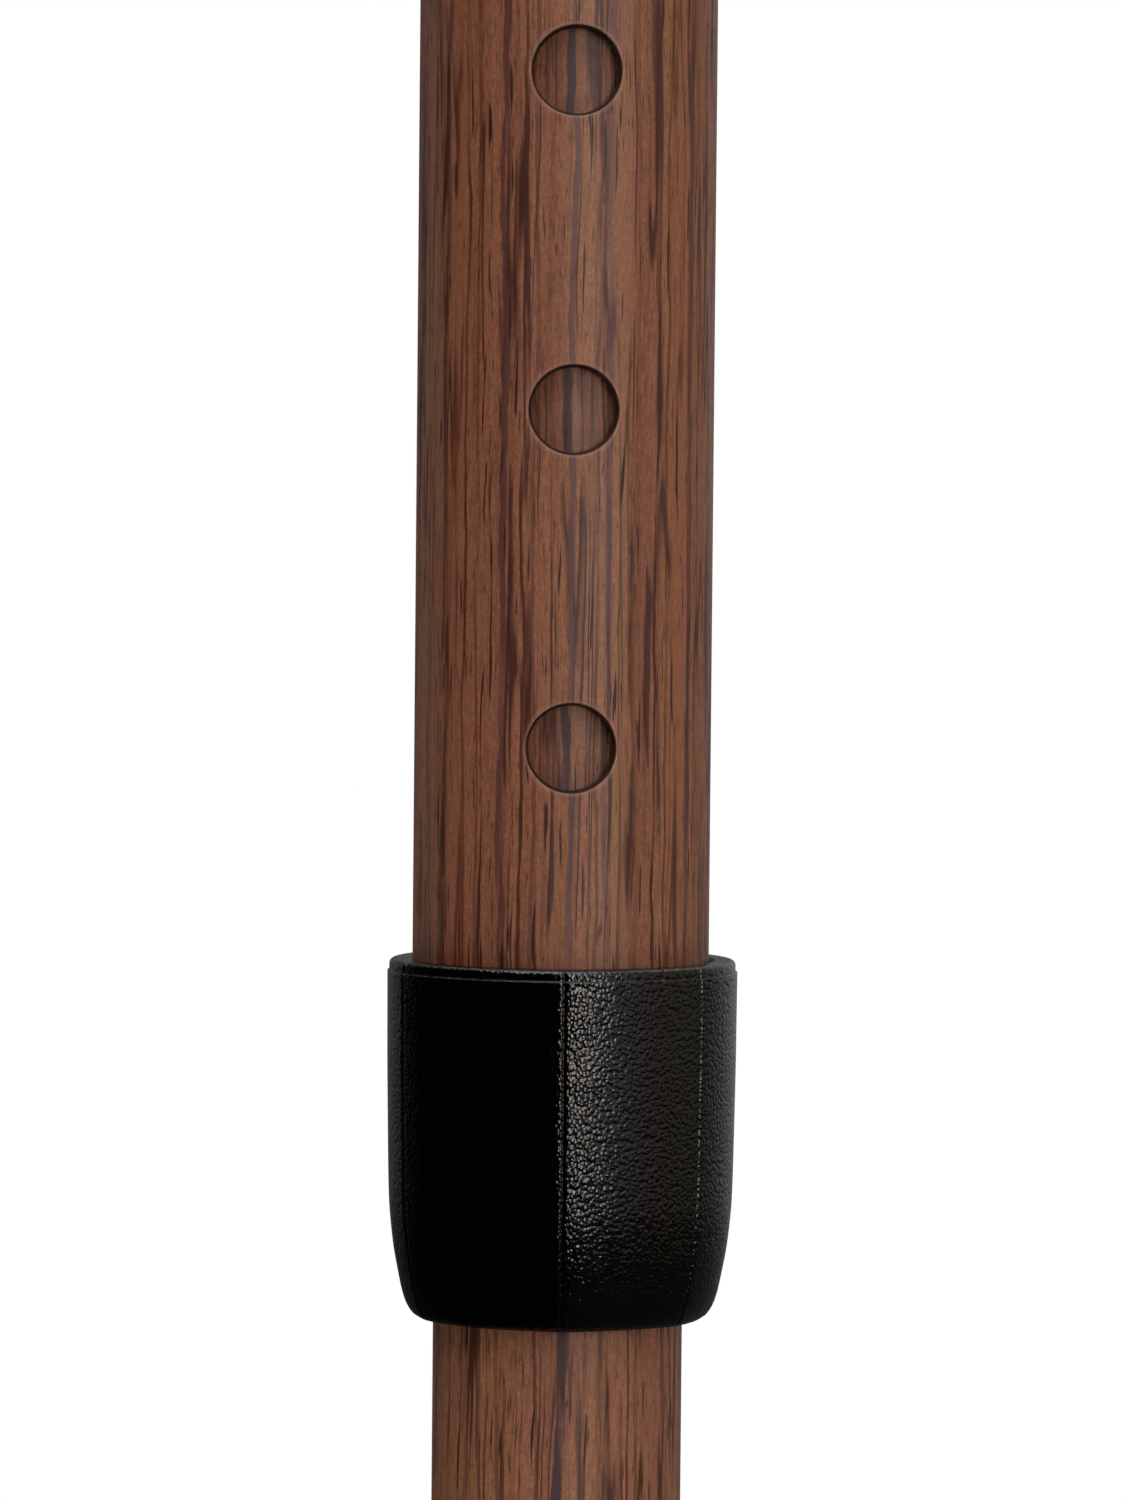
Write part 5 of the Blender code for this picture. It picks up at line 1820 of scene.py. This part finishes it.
@dataclass
class ShockCord:
    """The braided elastic cord that runs up the shaft and pulls the sections together."""

    radius_mm: float = CORD_MM
    relief_mm: float = 0.13
    strands: int = 8
    pitch_mm: float = 11.0
    slide_reach_mm: float = 30.0
    bend_reach_mm: float = 2.0
    pivot_mm: float = 12.0
    fold_deg: float = 178.0
    ring_gap_mm: float = 1.2
    slide_rings: int = 90
    bend_rings: int = 110
    steps: int = 64

    def braid(self, material: bpy.types.Material) -> RuleTree:
        """Build the tree that raises two crossing sets of strands on a plain cord.

        Args:
            material: Its finish.

        Returns:
            The tree, ready to be applied.
        """
        sizes = {"Strands": float(self.strands), "Pitch": self.pitch_mm * MM, "Relief": self.relief_mm * MM}
        rule = RuleTree("braided_cord", sizes)
        tree = rule.tree
        split = add(tree, "ShaderNodeSeparateXYZ", (add(tree, "GeometryNodeInputPosition"),))
        sides = (split.outputs["X"], split.outputs["Y"])
        angle = add(tree, "ShaderNodeMath", sides, operation="ARCTAN2")
        run = add(tree, "GeometryNodeInputNamedAttribute", ("skin",), data_type="FLOAT")
        turns = add(tree, "ShaderNodeMath", (run, rule.size("Pitch")), operation="DIVIDE")
        twist = add(tree, "ShaderNodeMath", (turns, 2.0 * math.pi), operation="MULTIPLY")
        heights = []
        for operation in ("ADD", "SUBTRACT"):
            phase = add(tree, "ShaderNodeMath", (angle, twist), operation=operation)
            phase = add(tree, "ShaderNodeMath", (phase, rule.size("Strands")), operation="MULTIPLY")
            heights.append(add(tree, "ShaderNodeMath", (phase,), operation="COSINE"))
        top = add(tree, "ShaderNodeMath", heights, operation="MAXIMUM")
        low = add(tree, "ShaderNodeMath", (1.0, top), operation="SUBTRACT")
        half = add(tree, "ShaderNodeMath", (rule.size("Relief"), 0.5), operation="MULTIPLY")
        sink = add(tree, "ShaderNodeMath", (low, half), operation="MULTIPLY")
        away = add(tree, "ShaderNodeCombineXYZ", sides)
        away = add(tree, "ShaderNodeVectorMath", (away,), operation="NORMALIZE")
        inward = add(tree, "ShaderNodeMath", (sink, -1.0), operation="MULTIPLY")
        move = add(tree, "ShaderNodeVectorMath", (away, inward), operation="SCALE")
        shaped = {"Geometry": rule.given.outputs["Geometry"], "Offset": move}
        rule.close(add(tree, "GeometryNodeSetPosition", shaped), material)
        return rule

    def stretch(self, name: str, marks: Sequence[Point], palette: Palette) -> bpy.types.Mesh:
        """Make a braided stretch from its rings' heights and distances along the cord.

        Args:
            name: The mesh's name.
            marks: Height of each ring, and its distance along the cord at the pose that shows it.
            palette: The finishes.

        Returns:
            The braided mesh with closed ends.
        """
        radius = self.radius_mm * MM
        outline = [(0.0, marks[0][0])] + [(radius, height) for height, _ in marks] + [(0.0, marks[-1][0])]
        runs = [marks[0][1]] + [run for _, run in marks] + [marks[-1][1]]
        blank = lathed(name + "_blank", outline, False, even_angles(self.steps), runs)
        mesh = self.braid(palette.slots[Finish.ELASTIC]).applied(blank)
        mesh.name = name
        return mesh

    def straight(self, number: int, body: str, low: float, high: float, palette: Palette) -> None:
        """Lay the cord's straight run inside one section.

        Args:
            number: The section's number.
            body: The body that it rides on.
            low: Height of its lower end.
            high: Height of its upper end.
            palette: The finishes.
        """
        count = max(2, round((high - low) / (self.ring_gap_mm * MM)))
        marks = [(low + (high - low) * k / count,) * 2 for k in range(count + 1)]
        mesh = self.stretch(f"cord_run_{number}", marks, palette)
        node = f"elastic_cord_{number}"
        place(mesh.name, mesh, palette.slots[Finish.ELASTIC], body, "elastic", [node])

    def at_joint(self, number: int, lower_body: str, joint: float, palette: Palette) -> None:
        """Lay the cord's two stretches at a joint: one slides out, the other bends over.

        Args:
            number: The joint's number.
            lower_body: The body under the joint.
            joint: Height of the joint.
            palette: The finishes.
        """
        link = f"cord_link_{number}"
        low = joint - self.slide_reach_mm * MM
        middle = joint - self.bend_reach_mm * MM
        high = joint + self.bend_reach_mm * MM
        marks = [(low + (middle - low) * k / self.slide_rings,) * 2 for k in range(self.slide_rings + 1)]
        slide = self.stretch(f"cord_slide_{number}", marks, palette)
        elastic = palette.slots[Finish.ELASTIC]
        piece = place(slide.name, slide, elastic, lower_body, "elastic")
        # As on the leaf spring, the blend alone moves the stretch.
        piece.parent = None
        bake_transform(piece, lower_body, link, start=(0.0, 0.0, low), end=(0.0, 0.0, middle))
        arc = math.radians(self.fold_deg) * self.pivot_mm * MM
        marks = []
        for k in range(self.bend_rings + 1):
            share = k / self.bend_rings
            # The blend turns smoothly, and this undoes it: the rings are even once the cord bends.
            ease = 0.5 - math.sin(math.asin(1.0 - 2.0 * share) / 3.0)
            marks.append((middle + (high - middle) * ease, middle + arc * share))
        bend = self.stretch(f"cord_bend_{number}", marks, palette)
        piece = place(bend.name, bend, elastic, link, "elastic", [link])
        piece.parent = None
        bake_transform(piece, link, f"section_{number}", start=(0.0, 0.0, middle), end=(0.0, 0.0, high))

    def build(self, palette: Palette) -> None:
        """Lay the cord from the lower stop to the upper stop.

        Args:
            palette: The finishes.
        """
        joints = {n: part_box(f"shoulder_ring_{n}")[1][2] for n in (1, 2, 3)}
        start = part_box("elastic_cord_4")[0][2]
        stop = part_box("elastic_cord_1")[1][2]
        body = "adjuster_section"
        for number in (3, 2, 1):
            joint = joints[number]
            self.straight(number + 1, body, start, joint - self.slide_reach_mm * MM, palette)
            self.at_joint(number, body, joint, palette)
            start = joint + self.bend_reach_mm * MM
            body = f"section_{number}"
        self.straight(1, body, start, stop, palette)


# Foot and handle


@dataclass
class RubberFoot:
    """The moulded rubber foot, with a bead at its mouth and a ringed tread."""

    socket_mm: float = 9.5
    floor_mm: float = 14.0
    top_mm: float = 12.45
    bead_mm: float = 1.1
    bead_height_mm: float = 4.0
    waist_mm: float = 13.55
    waist_z_mm: float = 13.0
    base_mm: float = 18.05
    base_height_mm: float = 7.0
    edge_mm: float = 1.2
    tread_radii_mm: tuple[float, ...] = (13.25, 8.65)
    tread_width_mm: float = 1.6
    tread_depth_mm: float = 1.5

    def outline(self, top: float) -> list[Corner]:
        """List the foot's corners with their fillets.

        Args:
            top: Height of the foot's mouth.

        Returns:
            Radius, height and fillet radius of each corner.
        """
        mouth = top - self.bead_height_mm * MM
        corners = [
            (0.0, self.floor_mm * MM, 0.0),
            (self.socket_mm * MM, self.floor_mm * MM, 0.3 * MM),
            (self.socket_mm * MM, top, 0.5 * MM),
            (self.top_mm * MM + 0.3 * MM, top, 0.4 * MM),
            ((self.top_mm + self.bead_mm) * MM, top - 0.9 * MM, 0.8 * MM),
            ((self.top_mm + self.bead_mm) * MM, mouth + 1.1 * MM, 0.8 * MM),
            (self.top_mm * MM, mouth, 0.9 * MM),
            (self.waist_mm * MM, self.waist_z_mm * MM, 6.0 * MM),
            ((self.base_mm - self.edge_mm) * MM, self.base_height_mm * MM, 0.8 * MM),
            (self.base_mm * MM, (self.base_height_mm - self.edge_mm) * MM, 0.6 * MM),
            (self.base_mm * MM, self.edge_mm * MM, 0.6 * MM),
            ((self.base_mm - self.edge_mm) * MM, 0.0, 0.6 * MM),
        ]
        half = self.tread_width_mm / 2.0 * MM
        for radius_mm in self.tread_radii_mm:
            radius = radius_mm * MM
            corners += [
                (radius + half, 0.0, 0.25 * MM),
                (radius + half, self.tread_depth_mm * MM, 0.25 * MM),
                (radius - half, self.tread_depth_mm * MM, 0.25 * MM),
                (radius - half, 0.0, 0.25 * MM),
            ]
        corners.append((0.0, 0.0, 0.0))
        return corners

    def build(self, palette: Palette) -> None:
        """Make the foot in its node's place.

        Args:
            palette: The finishes.
        """
        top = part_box("rubber_ferrule")[1][2]
        mesh = lathed("rubber_foot", filleted(self.outline(top), False, 6), False, even_angles(112))
        material = palette.slots[Finish.RUBBER]
        place("rubber_foot", mesh, material, "lower_section", "rubber", ["rubber_ferrule"])


@dataclass
class WalnutHandle:
    """The curved palm handle with its collar and its cross pin."""

    voxel_mm: float = 0.75
    smoothing_rounds: int = 22
    collar_mm: float = 12.6
    collar_top_mm: float = 11.6
    collar_skirt_mm: float = 9.0
    collar_bore_mm: float = 7.3
    skirt_bore_mm: float = 11.25
    pin_mm: float = 1.5
    pin_proud_mm: float = 0.25
    pin_dome_mm: float = 0.5
    pin_dome_steps: int = 6

    def grip(self, palette: Palette) -> None:
        """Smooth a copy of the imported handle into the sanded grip.

        Args:
            palette: The finishes.
        """
        shape = bmesh.new()
        shape.from_mesh(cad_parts["handle"].data)
        shape.transform(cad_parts["handle"].matrix_world)
        blank = finished("handle_blank", shape, 1e-6)
        carrier = bpy.data.objects.new("handle_blank", blank)
        bpy.context.scene.collection.objects.link(carrier)
        remesh = carrier.modifiers.new("voxels", "REMESH")
        remesh.mode = "VOXEL"
        remesh.voxel_size = self.voxel_mm * MM
        sanding = carrier.modifiers.new("sanding", "SMOOTH")
        sanding.factor = 0.5
        sanding.iterations = self.smoothing_rounds
        graph = bpy.context.evaluated_depsgraph_get()
        mesh = bpy.data.meshes.new_from_object(carrier.evaluated_get(graph), depsgraph=graph)
        bpy.data.objects.remove(carrier)
        for polygon in mesh.polygons:
            polygon.use_smooth = True
        place("walnut_grip", mesh, palette.slots[Finish.WALNUT], "section_1", "walnut", ["handle"])

    def collar(self, palette: Palette) -> None:
        """Turn the tapered black collar between the tube and the grip.

        Args:
            palette: The finishes.
        """
        low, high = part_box("handle_collar")
        shoulder = low[2] + (self.collar_skirt_mm + 0.15) * MM
        corners = [
            (self.collar_top_mm * MM, high[2], 0.2 * MM),
            (self.collar_mm * MM, shoulder, 1.2 * MM),
            (self.collar_mm * MM, low[2], 0.4 * MM),
            (self.skirt_bore_mm * MM, low[2], 0.15 * MM),
            (self.skirt_bore_mm * MM, shoulder, 0.0),
            (self.collar_bore_mm * MM, shoulder, 0.0),
            (self.collar_bore_mm * MM, high[2], 0.1 * MM),
        ]
        mesh = lathed("handle_base_collar", filleted(corners, True), True, even_angles(96))
        material = palette.slots[Finish.BLACK_PLASTIC]
        place(mesh.name, mesh, material, "section_1", "black_plastic", ["handle_collar"])

    def pin(self, palette: Palette) -> None:
        """Turn the steel cross pin with domed ends.

        Args:
            palette: The finishes.
        """
        low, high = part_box("handle_pin")
        reach = high[0] + self.pin_proud_mm * MM
        outline: list[Point] = []
        for side in (-1.0, 1.0):
            for step in range(self.pin_dome_steps + 1):
                share = step / self.pin_dome_steps
                bend = math.pi / 2.0 * (share if side < 0.0 else 1.0 - share)
                radius = self.pin_mm * MM * math.sin(bend) if bend > 0.0 else 0.0
                sunk = self.pin_dome_mm * MM * (1.0 - math.cos(bend))
                outline.append((radius, side * (reach - sunk)))
        mesh = lathed("domed_pin", outline, False, even_angles(40))
        height = (low[2] + high[2]) / 2.0
        mesh.transform(Matrix.Translation((0.0, 0.0, height)) @ Matrix.Rotation(math.pi / 2.0, 4, "Y"))
        place("domed_pin", mesh, palette.slots[Finish.STEEL], "section_1", "steel", ["handle_pin"])

    def build(self, palette: Palette) -> None:
        """Make the handle's pieces.

        Args:
            palette: The finishes.
        """
        self.grip(palette)
        self.collar(palette)
        self.pin(palette)


# Floor, light and camera


@dataclass
class SoftBox:
    """A rectangular studio lamp that faces the height lock."""

    name: str
    azimuth_deg: float
    elevation_deg: float
    distance: float
    width: float
    height: float
    radiance: float
    colour: str = "#ffffff"
    mirrored: bool = True
    target: Corner = (0.0, 0.0, 0.14)

    def build(self) -> None:
        """Hang the lamp at its angle, measured from -Y towards +X."""
        turn = math.radians(self.azimuth_deg)
        rise = math.radians(self.elevation_deg)
        away = Vector((math.sin(turn) * math.cos(rise), -math.cos(turn) * math.cos(rise), math.sin(rise)))
        lamp = bpy.data.lights.new(self.name, "AREA")
        lamp.shape = "RECTANGLE"
        lamp.size = self.width
        lamp.size_y = self.height
        lamp.energy = self.radiance * math.pi * self.width * self.height
        lamp.color = linear(self.colour)[:3]
        holder = bpy.data.objects.new(self.name, lamp)
        bpy.context.scene.collection.objects.link(holder)
        holder.location = Vector(self.target) + away * self.distance
        holder.rotation_euler = (-away).to_track_quat("-Z", "Y").to_euler()
        holder.visible_camera = False
        holder.visible_glossy = self.mirrored


@dataclass
class Studio:
    """The pale floor, the soft light and the camera of the photograph."""

    floor_radius: float = 0.4
    floor_top: float = -0.0002
    floor_bottom: float = -0.0007
    dome: float = 1.2
    right_wall: float = 0.28
    back_wall: float = 0.16
    camera_distance: float = 0.45
    camera_height: float = 0.1564
    camera_azimuth_deg: float = -3.3
    camera_pitch_deg: float = 1.79
    camera_roll_deg: float = 0.52
    focal_px: float = 6015.0
    sensor_mm: float = 36.0

    def floor(self) -> None:
        """Lay the round floor just under the foot."""
        radii = (0.0, self.floor_radius, self.floor_radius, 0.0)
        heights = (self.floor_top, self.floor_top, self.floor_bottom, self.floor_bottom)
        mesh = lathed("studio_floor", list(zip(radii, heights)), False, even_angles(96))
        mesh.materials.append(FloorPaint().build())
        piece = bpy.data.objects.new("studio_floor", mesh)
        bpy.context.scene.collection.objects.link(piece)
        piece.visible_glossy = False

    def sky(self) -> None:
        """Light the room: white where the camera looks, a dome above and dim sides."""
        world = bpy.data.worlds.new("studio_room")
        bpy.context.scene.world = world
        world.use_nodes = True
        tree = world.node_tree
        tree.nodes.clear()
        way = add(tree, "ShaderNodeTexCoord").outputs["Generated"]
        split = add(tree, "ShaderNodeSeparateXYZ", (way,))
        dome, above_floor, right, back = (
            add(tree, "ShaderNodeMapRange", (split.outputs[axis], *levels), **SMOOTH)
            for axis, levels in (
                ("Z", (0.6, 0.85, 0.0, self.dome)),
                ("Z", (-0.2, 0.0, 0.15, 1.0)),
                ("X", (0.02, 0.3, 0.0, self.right_wall)),
                ("Y", (0.2, 0.9, 0.0, self.back_wall)),
            )
        )
        walls = add(tree, "ShaderNodeMath", (right, back), operation="ADD")
        walls = add(tree, "ShaderNodeMath", (walls, above_floor), operation="MULTIPLY")
        strength = add(tree, "ShaderNodeMath", (dome, walls), operation="ADD")
        glow = add(tree, "ShaderNodeBackground", (linear("#f4f5f7"), strength))
        white = add(tree, "ShaderNodeBackground", (linear("#ffffff"), 1.0))
        seen = add(tree, "ShaderNodeLightPath").outputs["Is Camera Ray"]
        both = add(tree, "ShaderNodeMixShader", (seen, glow, white))
        add(tree, "ShaderNodeOutputWorld", {"Surface": both})

    def lamps(self) -> None:
        """Hang the softboxes."""
        lamps = (
            SoftBox("key_box", -14.0, 54.0, 0.9, 0.95, 0.7, 2.6),
            SoftBox("strip_box", 15.5, 8.8, 0.62, 0.12, 0.42, 7.4, "#fff4e6"),
            SoftBox("side_card", 38.5, 7.4, 0.62, 0.24, 0.47, 0.66, "#cbd8f6"),
            SoftBox("warm_card", 59.0, 7.0, 0.62, 0.18, 0.48, 0.42, "#de6a26"),
            SoftBox("olive_card", 78.5, 7.0, 0.62, 0.21, 0.48, 0.4, "#a6c445"),
            SoftBox("back_box", 188.0, 38.0, 1.2, 0.9, 0.8, 2.4, mirrored=False),
        )
        for lamp in lamps:
            lamp.build()

    def camera(self) -> None:
        """Stand the camera where the photograph was taken from."""
        lens = bpy.data.cameras.new("photo_camera")
        lens.sensor_fit = "VERTICAL"
        lens.sensor_height = self.sensor_mm
        lens.sensor_width = self.sensor_mm
        lens.lens = self.focal_px * self.sensor_mm / PHOTO_HEIGHT_PX
        lens.clip_start = 0.02
        lens.clip_end = 20.0
        holder = bpy.data.objects.new("photo_camera", lens)
        bpy.context.scene.collection.objects.link(holder)
        turn = math.radians(self.camera_azimuth_deg)
        holder.location = (
            self.camera_distance * math.sin(turn),
            -self.camera_distance * math.cos(turn),
            self.camera_height,
        )
        aim = Matrix.Rotation(turn, 4, "Z") @ Matrix.Rotation(
            math.radians(90.0 - self.camera_pitch_deg), 4, "X"
        )
        aim = aim @ Matrix.Rotation(math.radians(self.camera_roll_deg), 4, "Z")
        holder.rotation_euler = aim.to_euler()
        bpy.context.scene.camera = holder

    def build(self) -> None:
        """Set the floor, the light, the camera and the plain colour handling."""
        self.floor()
        self.sky()
        self.lamps()
        self.camera()
        bpy.context.scene.view_settings.view_transform = "Standard"
        bpy.context.scene.view_settings.look = "None"


# The cane


def dress_kept_nodes(palette: Palette) -> None:
    """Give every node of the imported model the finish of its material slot.

    Args:
        palette: The finishes.
    """
    for name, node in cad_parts.items():
        for slot in node.material_slots:
            base = slot.material.name.split(".")[0] if slot.material else ""
            for finish, material in palette.slots.items():
                if finish.value == base:
                    slot.material = material
                    LOG.info("%s gets %s", name, material.name)


def main() -> None:
    """Build the cane's pieces, then the studio."""
    logging.basicConfig(level=logging.INFO, format="%(message)s")
    palette = Palette()
    dress_kept_nodes(palette)
    Shaft().build(palette)
    PanelledCollar().build(palette)
    SnapButton().build(palette)
    LeafSpring().build(palette)
    for number, body in ((3, "adjuster_section"), (2, "section_3"), (1, "section_2")):
        FoldingJoint(number, body).build(palette)
    ShockCord().build(palette)
    RubberFoot().build(palette)
    WalnutHandle().build(palette)
    Studio().build()


if __name__ == "__main__":
    main()
